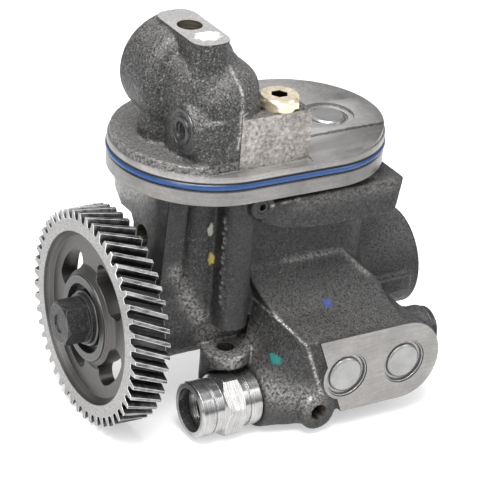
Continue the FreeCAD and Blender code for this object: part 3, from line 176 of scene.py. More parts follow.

# Ridges, scuffs and a painted highlight along the shelf's edge, as routes over the casting in mm
FLASH_RIDGE = ((-4.5, -21.75, 66.9), (6.0, -61.75, 56.0), (21.0, -61.75, 16.0))
DOME_SEAM = ((-29.0, -23.6, 201.9), (-28.3, -28.7, 197.5), (-27.2, -32.3, 193.4),
             (-27.3, -35.2, 188.3), (-28.4, -37.0, 181.1), (-28.8, -37.2, 170.4),
             (-29.3, -37.2, 162.4))
FLANGE_FLASH = ((-9.5, -42.0, 129.8), (-0.6, -40.0, 129.3), (8.3, -39.8, 129.9))
WALL_SCUFF = ((-51.3, -21.0, 90.4), (-43.9, -18.7, 77.2), (-41.1, -21.0, 68.9),
              (-35.9, -23.2, 61.3))
# Painted highlight along the shelf's edge
SHELF_EDGE_HIGHLIGHT = ((12.0, -25.75, 86.0), (36.0, -25.75, 86.0), (47.0, -26.5, 86.0),
               (62.0, -30.0, 70.0))
LUG_SCUFF = ((-27.0, -22.0, 47.0), (-22.0, -36.0, 43.0), (-11.0, -26.0, 43.0))
FLANK_SCUFF = ((-14.0, -50.0, 33.0), (-4.0, -59.0, 26.0), (12.0, -62.0, 22.0))
SHELF_FACE_SCUFF = ((9.0, -39.8, 127.5), (66.0, -39.8, 127.0))
RIDGE_WIDTH = 0.9
FLASH_RISE = 0.5
SEAM_RISE = 0.45
FLANGE_FLASH_RISE = 0.35
WORN_WIDTH = 0.8
# Each scuff's route, and that of the painted highlight along the shelf's edge, its width in mm and
# how bright it is
SCUFFS_AND_HIGHLIGHTS = ((WALL_SCUFF, 4.5, 0.55), (SHELF_EDGE_HIGHLIGHT, 1.8, 0.5), (LUG_SCUFF, 8.5, 1.0),
          (FLANK_SCUFF, 8.0, 0.62), (FLANGE_FLASH, 0.9, 1.0), (SHELF_FACE_SCUFF, 5.0, 0.22))

# Bare iron on the plate's cast end: its share on top, what the rim adds, and the
# rim's depth in mm
PLATE_WEAR = 0.15
RIM_WEAR = 0.25
RIM_DEPTH = 1.2

# Beads along the column's edge, in mm
COLUMN_BEADS = ((-30.4, -32.6, 74.0), (-30.4, -31.4, 122.0))
BEAD_PITCH = 2.7
BEAD_R = 1.2
BEAD_RISE = 0.7

# Marks, painted light and painted shade on the machined faces; painted shade lines run along the
# ring's groove. A shade line has a level and a reach in mm and a strength
GROOVE_SHADE_LINES = ((RING_Z + 2.3, 0.6, 0.90), (RING_Z - 2.3, 0.6, 0.80))
PLATE_FADE_X = (44.0 * MM, 64.0 * MM)
RAMP_BAND_X = (14.0 * MM, 16.0 * MM)
RAMP_BAND_Y = -23.4
BAND_HALF = (2.6 * MM, 1.4 * MM)
FLANGE_LOW_Z = (90.0, 92.0)
EAR_LIGHT_Y = (-16.0 * MM, 4.0 * MM)
EAR_LIGHT_Z = (84.0 * MM, 112.0 * MM)

# Paint dabs: centre and radii in mm, and colour
PAINT_MARKS = (
    # white on the pad and on the wall
    ((-37.3, -14.4, 215.5), (6.8, 5.4, 3.0), (0.80, 0.80, 0.78, 1.0)),
    ((-33.3, -23.6, 112.1), (1.6, 2.2, 4.2), (0.34, 0.34, 0.29, 1.0)),
    # yellow on the wall
    ((-32.1, -23.7, 95.3), (1.9, 2.1, 3.8), (0.30, 0.23, 0.05, 1.0)),
    # teal on the flank
    ((-4.8, -49.6, 43.7), (4.4, 4.6, 2.4), (0.004, 0.12, 0.105, 1.0)),
    # blue on the slope
    ((32.3, -39.1, 63.4), (2.6, 3.0, 2.5), (0.02, 0.04, 0.17, 1.0)),
)

# Range that a noise texture fills most of, and a dab's edge in shares of its radius
NOISE_RANGE = (0.3, 0.7)
DAB_EDGE = (1.45, 1.05)

# Floor, and lamps with their place, size and power, all turned to one point
FLOOR_SIZE = 30.0
FLOOR_GAP = 0.2 * MM
LAMP_TARGET = Vector((0.0, 0.0, 0.1))
LAMPS = (("top_light", (-0.30, -0.30, 1.15), (0.7, 0.7), 22.0),
         ("left_light", (-1.1, -0.7, 0.75), (0.35, 0.9), 5.0),
         ("right_light", (0.9, -0.9, 0.80), (0.3, 0.8), 5.0))

# Finishes of the casting's faces
CAST, MILLED, COARSE, SKIMMED, BORED = range(5)


# Shader graphs

class Graph:
    """A material's node tree with short calls for the nodes used here."""

    def __init__(self, name):
        self.material = bpy.data.materials.new(name)
        self.material.use_nodes = True
        self.tree = self.material.node_tree
        self.shader = self.tree.nodes["Principled BSDF"]
        self.place = self.tree.nodes.new("ShaderNodeTexCoord").outputs["Object"]

    def node(self, kind, inputs, **settings):
        made = self.tree.nodes.new(kind)
        for key, value in settings.items():
            setattr(made, key, value)
        for key, value in inputs.items():
            self.set(made.inputs[key], value)
        return made

    def set(self, socket, value):
        if isinstance(value, bpy.types.NodeSocket):
            self.tree.links.new(value, socket)
        else:
            socket.default_value = value

    def math(self, operation, a, b=0.0, clamp=False):
        made = self.node("ShaderNodeMath", {0: a, 1: b}, operation=operation, use_clamp=clamp)
        return made.outputs[0]

    def times(self, *values):
        product = values[0]
        for value in values[1:]:
            product = self.math("MULTIPLY", product, value)
        return product

    def away(self, value, middle):
        """How far a number lies from a middle, either way."""
        return self.math("ABSOLUTE", self.math("SUBTRACT", value, middle))

    def span(self, value, low, high, to_low=0.0, to_high=1.0):
        """A number carried from one range to another and held at its ends."""
        made = self.node("ShaderNodeMapRange", {
            "Value": value, "From Min": low, "From Max": high,
            "To Min": to_low, "To Max": to_high})
        return made.outputs["Result"]

    def vary(self, value, to_low=0.0, to_high=1.0):
        """A noise carried to a range."""
        return self.span(value, *NOISE_RANGE, to_low, to_high)

    def stretched(self, scale):
        made = self.node("ShaderNodeMapping", {"Vector": self.place, "Scale": scale})
        return made.outputs["Vector"]

    def noise(self, scale, detail=3.0, roughness=0.55, place=None):
        made = self.node("ShaderNodeTexNoise", {
            "Vector": place or self.place, "Scale": scale, "Detail": detail,
            "Roughness": roughness})
        return made.outputs["Fac"]

    def mix(self, share, a, b):
        """One colour into another."""
        made = self.node("ShaderNodeMix", {0: share, 6: a, 7: b}, data_type="RGBA")
        return made.outputs[2]

    def blend(self, share, a, b):
        """One number into another."""
        made = self.node("ShaderNodeMix", {0: share, 2: a, 3: b}, data_type="FLOAT")
        return made.outputs[0]

    def attribute(self, name):
        return self.node("ShaderNodeAttribute", {}, attribute_name=name).outputs["Fac"]

    def parts(self, vector):
        return self.node("ShaderNodeSeparateXYZ", {"Vector": vector}).outputs

    def facing(self):
        """The surface's direction, as its shares along x, y and z."""
        return self.parts(self.node("ShaderNodeNewGeometry", {}).outputs["Normal"])

    def level(self):
        """Height in mm."""
        return self.math("DIVIDE", self.parts(self.place)[2], MM)

    def vector(self, operation, a, b=(1.0, 1.0, 1.0)):
        made = self.node("ShaderNodeVectorMath", {0: a, 1: b}, operation=operation)
        return made.outputs["Value" if operation == "LENGTH" else "Vector"]

    def spot(self, centre, radii, edge):
        """1 inside an oval about a place given in mm, with a ragged edge."""
        middle = [c * MM for c in centre]
        sizes = [r * MM for r in radii]
        offset = self.vector("SUBTRACT", self.place, middle)
        away = self.vector("LENGTH", self.vector("DIVIDE", offset, sizes))
        return self.span(self.math("ADD", away, edge), *DAB_EDGE)

    def radius_about(self, origin, axis):
        """Distance in metres from a line through origin along x, y or z."""
        local = self.parts(self.vector("SUBTRACT", self.place, origin))
        squares = [self.math("MULTIPLY", local[k], local[k]) for k in range(3) if k != axis]
        return self.math("SQRT", self.math("ADD", *squares))

    def bump(self, height, distance, strength=1.0):
        inputs = {"Height": height, "Distance": distance, "Strength": strength}
        return self.node("ShaderNodeBump", inputs).outputs["Normal"]

    def finish(self, **inputs):
        for key, value in inputs.items():
            self.set(self.shader.inputs[key.replace("_", " ")], value)
        return self.material


def grey(value, warm=0.0):
    return (value * (1 + warm), value, value * (1 - warm), 1.0)


def painted(g, colour, roughness, metallic):
    """Adds the paint dabs to a casting's colour, roughness and metal share."""
    ragged = g.vary(g.noise(420.0, 4.0, 0.7), -0.05, 0.75)
    for centre, radii, paint in PAINT_MARKS:
        share = g.spot(centre, radii, ragged)
        colour = g.mix(share, colour, paint)
        roughness = g.blend(share, roughness, 0.55)
        metallic = g.blend(share, metallic, 0.0)
    return colour, roughness, metallic


def cast_material():
    """Dark sand-cast iron, lighter where it is scuffed, brown inside its bores, with painted
    glints, painted shade under the flange and a painted highlight along the shelf's edge.
    """
    g = Graph("cast_iron")
    # Skin, with clouds, lighter where it faces up, and pits
    grain = g.noise(900.0, 4.0, 0.62)
    cloud = g.noise(70.0, 3.0)
    upward = g.facing()[2]
    colour = g.mix(g.span(grain, 0.38, 0.64), grey(0.006, 0.02), grey(0.070, 0.03))
    colour = g.mix(g.span(cloud, 0.38, 0.68, 0.0, 0.4), colour, grey(0.080, 0.03))
    colour = g.mix(g.span(upward, 0.2, 0.95, 0.0, 0.50), colour, grey(0.20, 0.04))
    pits = g.span(g.noise(1000.0, 2.0, 0.6), 0.60, 0.50, 0.0, 0.75)
    colour = g.mix(pits, grey(0.006), colour)
    # Painted glints as bright specks, patchy below the flange, where the skin takes painted shade
    # too
    below = g.span(g.level(), FLANGE_BASE_Z + 1.0, FLANGE_BASE_Z - 1.0)
    patchy = g.span(g.noise(38.0, 2.0), 0.42, 0.60, 0.10, 0.60)
    speck = g.span(g.noise(820.0, 3.0, 0.75), 0.54, 0.74)
    colour = g.mix(g.times(speck, g.blend(below, 0.68, patchy)), colour, grey(0.34, 0.04))
    # Painted shade under the flange
    colour = g.mix(g.times(below, 0.48), colour, grey(0.004, 0.02))
    # Bare metal on scuffs, and a painted highlight along the shelf's edge
    broken = g.span(g.noise(650.0, 4.0, 0.7), 0.40, 0.62)
    scuff_and_highlight = g.math("MULTIPLY", g.attribute("scuff_and_highlight"), broken, True)
    colour = g.mix(scuff_and_highlight, colour, grey(0.42, 0.04))
    # Turned walls of the bores
    turned = g.noise(1.0, 2.0, 0.5, g.stretched((60.0, 60.0, 1400.0)))
    wall = g.mix(g.span(turned, 0.35, 0.65),
                 (0.014, 0.012, 0.010, 1.0), (0.11, 0.092, 0.072, 1.0))
    colour = g.mix(g.attribute("bored"), colour, wall)
    roughness = g.blend(scuff_and_highlight, g.vary(g.noise(520.0, 3.0), 0.34, 0.62), 0.32)
    metallic = g.blend(scuff_and_highlight, 0.25, 0.8)
    colour, roughness, metallic = painted(g, colour, roughness, metallic)
    height = g.blend(0.45, grain, g.noise(330.0, 3.0))
    normal = g.bump(height, 0.9 * MM, 0.85)
    return g.finish(Base_Color=colour, Roughness=roughness, Metallic=metallic, Normal=normal)


def milled_material(name, dark, light, stretch, warm, depth, roughness, soft_bands=0.0):
    """Machined iron, with the cutter's lines along one way and dull stains, painted light on the
    plate top, and painted shade on its ramp and along the ring's groove.
    """
    g = Graph(name)
    x, y = g.parts(g.place)[:2]
    _, slant, upward = g.facing()[:3]
    level = g.level()
    lines = g.noise(1.0, 3.0, 0.6, g.stretched(stretch))
    grain = g.noise(700.0, 3.0, 0.6)
    stain = g.noise(55.0, 4.0, 0.6)
    share = g.blend(0.45, g.vary(lines), g.span(grain, 0.32, 0.68))
    colour = g.mix(share, grey(dark, warm), grey(light, warm))
    colour = g.mix(g.span(stain, 0.42, 0.72, 0.0, 0.55), colour, grey(dark * 0.62, warm))
    if soft_bands:
        sweep = g.noise(1.0, 2.0, 0.5, g.stretched((9.0, 60.0, 20.0)))
        sweep = g.span(sweep, 0.42, 0.62, 0.0, soft_bands)
        colour = g.mix(sweep, colour, grey(dark * 0.35, warm))
    # Painted light on the plate top, brighter towards the tower, and painted shade on its ramp
    plate_top = g.times(g.span(upward, 0.6, 0.9), g.span(level, LAND_Z + 1.0, LAND_Z + 2.0),
                        g.span(level, PLATE_Z + 1.0, PLATE_Z + 0.5))
    fading = g.span(x, *PLATE_FADE_X, 0.44, 0.06)
    colour = g.mix(g.times(plate_top, fading), colour, grey(0.74, warm))
    ramp = g.times(plate_top, g.span(slant, -0.12, -0.20))
    colour = g.mix(g.times(ramp, 0.52), colour, grey(0.015))
    # Pad on the tower
    pad = g.times(g.span(level, PAD_Z - 1.0, PAD_Z - 0.5), g.vary(grain, 0.25, 0.75))
    colour = g.mix(pad, colour, grey(0.66, warm))
    # Dark band along the ramp's top
    away = g.math("ADD", g.away(y, RAMP_BAND_Y * MM), g.vary(grain, 0.0, 1.6 * MM))
    band = g.times(g.span(away, *BAND_HALF), plate_top, g.span(x, *RAMP_BAND_X))
    colour = g.mix(g.times(band, 0.72), colour, grey(0.012))
    # Flange below its ring, and painted shade lines along the ring's groove edges
    below = g.times(g.span(level, RING_Z - 1.8, RING_Z - 2.4), g.span(level, *FLANGE_LOW_Z))
    colour = g.mix(g.times(below, 0.36), colour, grey(0.02))
    for middle, reach, strength in GROOVE_SHADE_LINES:
        line = g.times(g.span(g.away(level, middle), reach, reach * 0.4), strength)
        colour = g.mix(line, colour, grey(0.010))
    rough = g.vary(grain, roughness * 0.8, roughness * 1.25)
    colour, rough, metallic = painted(g, colour, rough, 0.85)
    normal = g.bump(g.blend(0.5, lines, grain), depth * MM, 0.7)
    return g.finish(Base_Color=colour, Roughness=rough, Metallic=metallic, Normal=normal)


def skimmed_material():
    """The skimmed ear: painted light towards its outer, upper edge and painted shade elsewhere."""
    g = Graph("skimmed_iron")
    _, y, z = g.parts(g.place)[:3]
    grain = g.noise(700.0, 3.0, 0.6)
    stain = g.span(g.noise(60.0, 4.0, 0.6), 0.35, 0.65, -0.15, 0.15)
    # Painted light towards the ear's outer, upper edge; the rest is painted shade
    light = g.times(g.span(y, *EAR_LIGHT_Y), g.span(z, *EAR_LIGHT_Z))
    light = g.math("ADD", light, stain, True)
    dark = g.mix(g.vary(grain), grey(0.018), grey(0.045))
    colour = g.mix(light, dark, g.mix(g.vary(grain), grey(0.22, 0.01), grey(0.50, 0.01)))
    normal = g.bump(grain, 0.3 * MM, 0.7)
    return g.finish(Base_Color=colour, Roughness=0.5, Metallic=0.7, Normal=normal)


def steel(name, dark, light, roughness, scale=(900.0, 60.0, 60.0), warm=0.0):
    """Turned or ground steel with fine lines around or along it."""
    g = Graph(name)
    lines = g.noise(1.0, 3.0, 0.6, g.stretched(scale))
    share = g.blend(0.4, g.vary(lines), g.vary(g.noise(160.0, 3.0)))
    colour = g.mix(share, grey(dark, warm), grey(light, warm))
    rough = g.vary(g.noise(500.0, 3.0), roughness * 0.75, roughness * 1.25)
    normal = g.bump(lines, 0.05 * MM, 0.6)
    return g.finish(Base_Color=colour, Roughness=rough, Metallic=0.95, Normal=normal)


def gear_material():
    """The gear: a light rim face, a dark dished web with turned rings, and teeth with painted shade
    towards their roots and a painted highlight on their lands; a painted shade line runs round the
    rim's inner edge.
    """
    g = Graph("gear_steel")
    radius = g.math("DIVIDE", g.radius_about(AXIS, 0), MM)
    rings = g.noise(1.0, 2.0, 0.5, g.node("ShaderNodeCombineXYZ", {
        "X": g.math("MULTIPLY", radius, 2.4), "Y": 0.0, "Z": 0.0}).outputs[0])
    grain = g.noise(800.0, 3.0, 0.6)
    hub = g.mix(g.span(rings, 0.4, 0.6), grey(0.022), grey(0.15, 0.01))
    web = g.mix(g.span(rings, 0.35, 0.65), grey(0.062, 0.05), grey(0.110, 0.05))
    rim = g.mix(g.vary(grain), grey(0.21, 0.02), grey(0.38, 0.02))
    flank = g.mix(g.span(g.noise(300.0, 3.0), 0.35, 0.65), grey(0.07), grey(0.27))
    # Painted highlight on the tooth lands, streaked
    highlight_streaks = g.noise(1.0, 3.0, 0.6, g.stretched((70.0, 300.0, 300.0)))
    land_highlight = g.mix(g.span(highlight_streaks, 0.38, 0.62), grey(0.05), grey(0.34))
    # Painted shade towards the tooth roots
    teeth = g.mix(g.span(radius, *TOOTH_FLANK), grey(0.025), flank)
    teeth = g.mix(g.span(radius, *TOOTH_LAND), teeth, land_highlight)
    on_rim = g.span(radius, *RIM_EDGE)
    on_teeth = g.span(radius, *TOOTH_FOOT)
    sideways = g.span(g.math("ABSOLUTE", g.facing()[0]), 0.92, 0.80)
    colour = g.mix(g.span(radius, *HUB_EDGE), hub, web)
    colour = g.mix(on_rim, colour, rim)
    colour = g.mix(g.times(on_teeth, sideways), colour, teeth)
    # Painted shade line at the rim's inner edge, where it drops to the web
    edge = g.span(g.away(radius, RIM_SHADE_LINE), 0.7, 0.3)
    colour = g.mix(g.times(edge, 0.75), colour, grey(0.012))
    rough = g.blend(on_rim, 0.40, g.blend(on_teeth, 0.42, 0.46))
    normal = g.bump(g.blend(0.5, rings, grain), 0.05 * MM, 0.6)
    return g.finish(Base_Color=colour, Roughness=rough, Metallic=0.92, Normal=normal)


def rubber(name, colour, roughness=0.38, shaded_above=None):
    """A rubber ring with a thin film, and painted shade above a level in mm."""
    g = Graph(name)
    film = g.span(g.noise(300.0, 3.0), 0.35, 0.7, 0.0, 0.25)
    lighter = tuple(min(1.0, c * 1.6 + 0.02) for c in colour[:3]) + (1.0,)
    tint = g.mix(film, colour, lighter)
    if shaded_above:
        # Painted shade on the ring's upper part, next to the groove's upper land
        groove_shade = g.span(g.level(), shaded_above - 0.3, shaded_above + 0.4)
        tint = g.mix(groove_shade, tint, (0.003, 0.006, 0.014, 1.0))
    normal = g.bump(g.noise(900.0, 2.0), 0.04 * MM, 0.4)
    return g.finish(Base_Color=tint, Roughness=roughness, Metallic=0.0, Normal=normal)


def stamped(name, dark, light, spots, roughness, metallic):
    """Plated or blackened metal with fine spots."""
    g = Graph(name)
    colour = g.mix(g.vary(g.noise(220.0, 4.0)), grey(dark), grey(light))
    speck = g.span(g.noise(1300.0, 2.0, 0.7), 0.55, 0.72)
    colour = g.mix(g.times(speck, 0.6), colour, grey(spots))
    rough = g.vary(g.noise(600.0, 3.0), roughness * 0.8, roughness * 1.25)
    normal = g.bump(g.noise(800.0, 3.0), 0.08 * MM, 0.6)
    return g.finish(Base_Color=colour, Roughness=rough, Metallic=metallic, Normal=normal)


def gold_material():
    """Yellow plating, with painted shade in the hexagon socket."""
    g = Graph("gold_plate")
    cloud = g.vary(g.noise(420.0, 3.0))
    colour = g.mix(cloud, (0.56, 0.47, 0.33, 1.0), (0.90, 0.80, 0.62, 1.0))
    depth = g.math("SUBTRACT", GOLD_TOP, g.parts(g.place)[2])
    # Painted shade in the hexagon socket
    socket = g.times(g.span(g.radius_about(GOLD_CENTRE, 2), *SOCKET_R),
                     g.span(depth, 0.3 * MM, 0.6 * MM))
    colour = g.mix(socket, colour, (0.020, 0.015, 0.010, 1.0))
    normal = g.bump(g.noise(700.0, 3.0), 0.06 * MM, 0.5)
    return g.finish(Base_Color=colour, Roughness=0.34, Metallic=0.9, Normal=normal)


# Mesh helpers

@contextmanager
def editing(mesh):
    """The mesh as a bmesh, written back at the end."""
    bm = bmesh.new()
    bm.from_mesh(mesh)
    yield bm
    bm.to_mesh(mesh)
    bm.free()


def vectors(items, key):
    """One vector for each vertex or face, such as its place or its normal."""
    values = np.empty(len(items) * 3)
    items.foreach_get(key, values)
    return values.reshape(-1, 3)


def add_object(name, data):
    obj = bpy.data.objects.new(name, data)
    bpy.context.scene.collection.objects.link(obj)
    return obj


def set_materials(mesh, materials):
    """Gives a mesh its materials and keeps which face has which."""
    kinds = np.empty(len(mesh.polygons), np.int32)
    mesh.polygons.foreach_get("material_index", kinds)
    mesh.materials.clear()
    for material in materials:
        mesh.materials.append(material)
    mesh.polygons.foreach_set("material_index", np.minimum(kinds, len(materials) - 1))


def new_object(name, mesh, materials, smooth_angle=SMOOTH_ANGLE):
    """An object of the mesh; with no angle the mesh's own normals stay."""
    obj = add_object(name, mesh)
    set_materials(mesh, materials)
    if smooth_angle:
        mesh.shade_smooth()
        mesh.set_sharp_from_angle(angle=math.radians(smooth_angle))
    return obj


def applied(obj):
    """The object's mesh with its modifiers worked in, and the object removed."""
    bpy.context.view_layer.update()
    graph = bpy.context.evaluated_depsgraph_get()
    mesh = bpy.data.meshes.new_from_object(obj.evaluated_get(graph))
    bpy.data.objects.remove(obj)
    return mesh


def bevelled(name, mesh, width, **settings):
    """The mesh with its sharp edges broken."""
    draft = add_object(name, mesh)
    bevel = draft.modifiers.new("bevel", "BEVEL")
    bevel.width = width
    bevel.segments = 2
    bevel.limit_method = "ANGLE"
    bevel.angle_limit = math.radians(BEVEL_ANGLE)
    for key, value in settings.items():
        setattr(bevel, key, value)
    return applied(draft)


def welded_copy(node):
    """A copy of a CAD node's mesh with its seams closed and no normals of its own."""
    mesh = frame["nodes"][node].data.copy()
    for attribute in [a for a in mesh.attributes if a.name == "custom_normal"]:
        mesh.attributes.remove(attribute)
    with editing(mesh) as bm:
        bmesh.ops.remove_doubles(bm, verts=bm.verts, dist=WELD)
    return mesh


def lathe(name, profile, origin, axis, material):
    """A turned surface about x, y or z, from (distance along the axis, radius) pairs in mm."""
    around = [k for k in range(3) if k != axis]
    mesh = bpy.data.meshes.new(name)
    with editing(mesh) as bm:
        rings = []
        for along, radius in profile:
            ring = []
            for i in range(LATHE_SEGMENTS):
                angle = 2 * math.pi * i / LATHE_SEGMENTS
                place = Vector(origin)
                place[axis] = along * MM
                place[around[0]] += radius * MM * math.cos(angle)
                place[around[1]] += radius * MM * math.sin(angle)
                ring.append(bm.verts.new(place))
            rings.append(ring)
        for first, second in zip(rings, rings[1:]):
            for i in range(LATHE_SEGMENTS):
                j = (i + 1) % LATHE_SEGMENTS
                bm.faces.new((first[i], first[j], second[j], second[i]))
        bmesh.ops.recalc_face_normals(bm, faces=bm.faces)
    obj = new_object(name, mesh, [material])
    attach(obj, "housing")


def helix_turned(mesh):
    """Turns the gear's teeth about its axis, more towards the rear, by the helix."""
    low, high = HELIX_RADII
    for vertex in mesh.vertices:
        offset = vertex.co - AXIS
        radius = math.hypot(offset.y, offset.z)
        along = min(1.0, max(0.0, (vertex.co.x - GEAR_FRONT_X) / GEAR_WIDTH))
        share = min(1.0, max(0.0, (radius - low) / (high - low)))
        turn = Matrix.Rotation(HELIX_TURN * along * share, 3, "X")
        vertex.co = AXIS + turn @ offset


def edge_wear_and_highlight_on_teeth(mesh):
    """Leaves the worn edges with their painted highlight on the teeth and gives the web's edges the
    gear's own material.
    """
    for face in mesh.polygons:
        offset = face.center - AXIS
        if math.hypot(offset.y, offset.z) < WORN_HIGHLIGHT_EDGE_FROM_R:
            face.material_index = 0


def softened(node, name, material, edge_material, width):
    """Stands for a CAD node, with its edges broken by a small bevel that takes the edge material,
    on some pieces a lighter one for wear and a painted highlight.
    """
    materials = [material, edge_material]
    mesh = welded_copy(node)
    if node == "drive_gear":
        helix_turned(mesh)
    with editing(mesh) as bm:
        bmesh.ops.dissolve_limit(bm, angle_limit=math.radians(FLAT_ANGLE),
                                 verts=bm.verts, edges=bm.edges)
    mesh.shade_smooth()
    mesh.set_sharp_from_angle(angle=math.radians(CRISP_ANGLE))
    set_materials(mesh, materials)
    mesh.polygons.foreach_set("material_index", np.zeros(len(mesh.polygons), np.int32))
    mesh = bevelled(name + "_draft", mesh, width, material=1, harden_normals=True)
    if node == "drive_gear":
        edge_wear_and_highlight_on_teeth(mesh)
    obj = new_object(name, mesh, materials, None)
    body = frame["nodes"][node]["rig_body"]
    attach(obj, body)
    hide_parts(node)


# Finishes of the casting, told apart by place and direction

def in_box(points, low, high):
    return np.all((points >= np.array(low) * MM) & (points <= np.array(high) * MM), axis=1)


def on_plane(points, normals, axis, value, box=ANYWHERE):
    """Points on the plane axis = value, in mm, facing along it, inside a box."""
    near = np.abs(points[:, axis] - value * MM) < PLANE_REACH * MM
    facing = np.abs(normals[:, axis]) > SQUARE_ON
    return near & facing & in_box(points, *box)


def in_bore(points, centre, axis, radius, low, high):
    """Points on a round hole's wall along an axis; the centre in metres, the rest in mm."""
    a, b = (k for k in range(3) if k != axis)
    offset = np.hypot(points[:, a] - centre[a], points[:, b] - centre[b])
    along = (points[:, axis] > low * MM) & (points[:, axis] < high * MM)
    return (np.abs(offset - radius * MM) < BORE_REACH * MM) & along


def finish_of(points, normals):
    """How each point of the casting is finished."""
    x, _, z = (points[:, k] / MM for k in range(3))
    level_share = np.abs(normals[:, 2])
    upright = level_share < UPRIGHT
    zone = np.full(len(points), CAST)
    band = (z > FLANGE_BASE_Z + 0.1) & (z < LAND_Z + 0.1) & upright
    band &= np.abs(z - RING_Z) > GROOVE_HALF
    plate_side = (z > LAND_Z) & (z < PLATE_Z + 0.05) & upright & (x > PLATE_CAST_X)
    plate_side &= ~in_box(points, *TOWER_FOOT)
    top = (z > LAND_Z - 0.3) & (z < PLATE_Z + 0.2) & (level_share > LYING)
    top &= (x > PLATE_CAST_X) | (z < LAND_Z + 0.1)
    milled = band | plate_side | top
    milled |= on_plane(points, normals, 2, PAD_Z)
    milled |= on_plane(points, normals, 1, FACE_Y)
    milled |= on_plane(points, normals, 0, REAR_X)
    milled |= on_plane(points, normals, 1, INLET_FACE_Y)
    milled |= on_plane(points, normals, 1, TOWER_MOUTH_Y, TOWER_MOUTH)
    zone[milled] = MILLED
    zone[on_plane(points, normals, 1, BLOCK_FRONT_Y, BLOCK_FACE)] = COARSE
    zone[on_plane(points, normals, 0, EAR_FACE_X, EAR_FACE)] = SKIMMED
    for mount in mounts.values():
        dims = mount["dims"]
        if "r_mm" not in dims:
            continue
        axis = int(np.argmax(np.abs(mount["axis"])))
        along = mount["pos_m"][axis] / MM
        reach = dims["length_mm"] + BORE_MARGIN
        inside = in_bore(points, mount["pos_m"], axis, dims["r_mm"], along - reach, along + reach)
        zone[inside & (np.abs(normals[:, axis]) < LYING)] = BORED
    return zone


# Casting

def segment_distance(points, a, b):
    """Distance in mm from each point to a stretch between two places."""
    a = np.array(a) * MM
    b = np.array(b) * MM
    share = np.clip((points - a) @ (b - a) / ((b - a) @ (b - a)), 0, 1)
    return np.linalg.norm(points - (a + share[:, None] * (b - a)), axis=1) / MM


def route_distance(points, route):
    return np.min([segment_distance(points, a, b) for a, b in zip(route, route[1:])], axis=0)


def bell(distance, width):
    return np.exp(-(distance / width) ** 2)


def bead_distance(points):
    """Distance in mm to the nearest bead along the column's edge."""
    a, b = (np.array(end) for end in COLUMN_BEADS)
    count = int(np.linalg.norm(b - a) / BEAD_PITCH)
    nearest = np.full(len(points), np.inf)
    for i in range(count + 1):
        wobble = np.array([0.0, 0.8 * math.sin(2.4 * i), 0.5 * math.sin(1.7 * i)])
        place = (a + (b - a) * i / count + wobble) * MM
        nearest = np.minimum(nearest, np.linalg.norm(points - place, axis=1) / MM)
    return nearest


def edge_array(mesh):
    """The two vertices of each edge."""
    edges = np.empty(len(mesh.edges) * 2, np.int64)
    mesh.edges.foreach_get("vertices", edges)
    return edges.reshape(-1, 2)


def grown(mask, edges, rings):
    """The mask with its neighbours along the mesh's edges."""
    mask = mask.copy()
    for _ in range(rings):
        touched = mask[edges[:, 0]] | mask[edges[:, 1]]
        mask[edges[touched].ravel()] = True
    return mask


def relaxed(place, edges, free, rounds):
    """Evens out the free vertices, so that cast edges turn soft."""
    count = len(place)
    degree = np.bincount(edges.ravel(), minlength=count)[:, None]
    share = np.where(free, CAST_SHARE, 0.0)[:, None]
    for _ in range(rounds):
        total = np.empty_like(place)
        for k in range(3):
            total[:, k] = (np.bincount(edges[:, 0], place[edges[:, 1], k], count)
                           + np.bincount(edges[:, 1], place[edges[:, 0], k], count))
        place = place + share * (total / degree - place)
    return place


def plate_wear(points):
    """Bare iron on the plate's cast end, brighter down its rim than on top."""
    x, _, z = (points[:, k] / MM for k in range(3))
    on_plate = (x < PLATE_CAST_X + 1) & (z > LAND_Z - 0.5) & (z < PLATE_Z + 0.8)
    depth = np.clip((PLATE_Z - z) / RIM_DEPTH, 0, 1)
    return np.where(on_plate, PLATE_WEAR + RIM_WEAR * depth, 0.0)


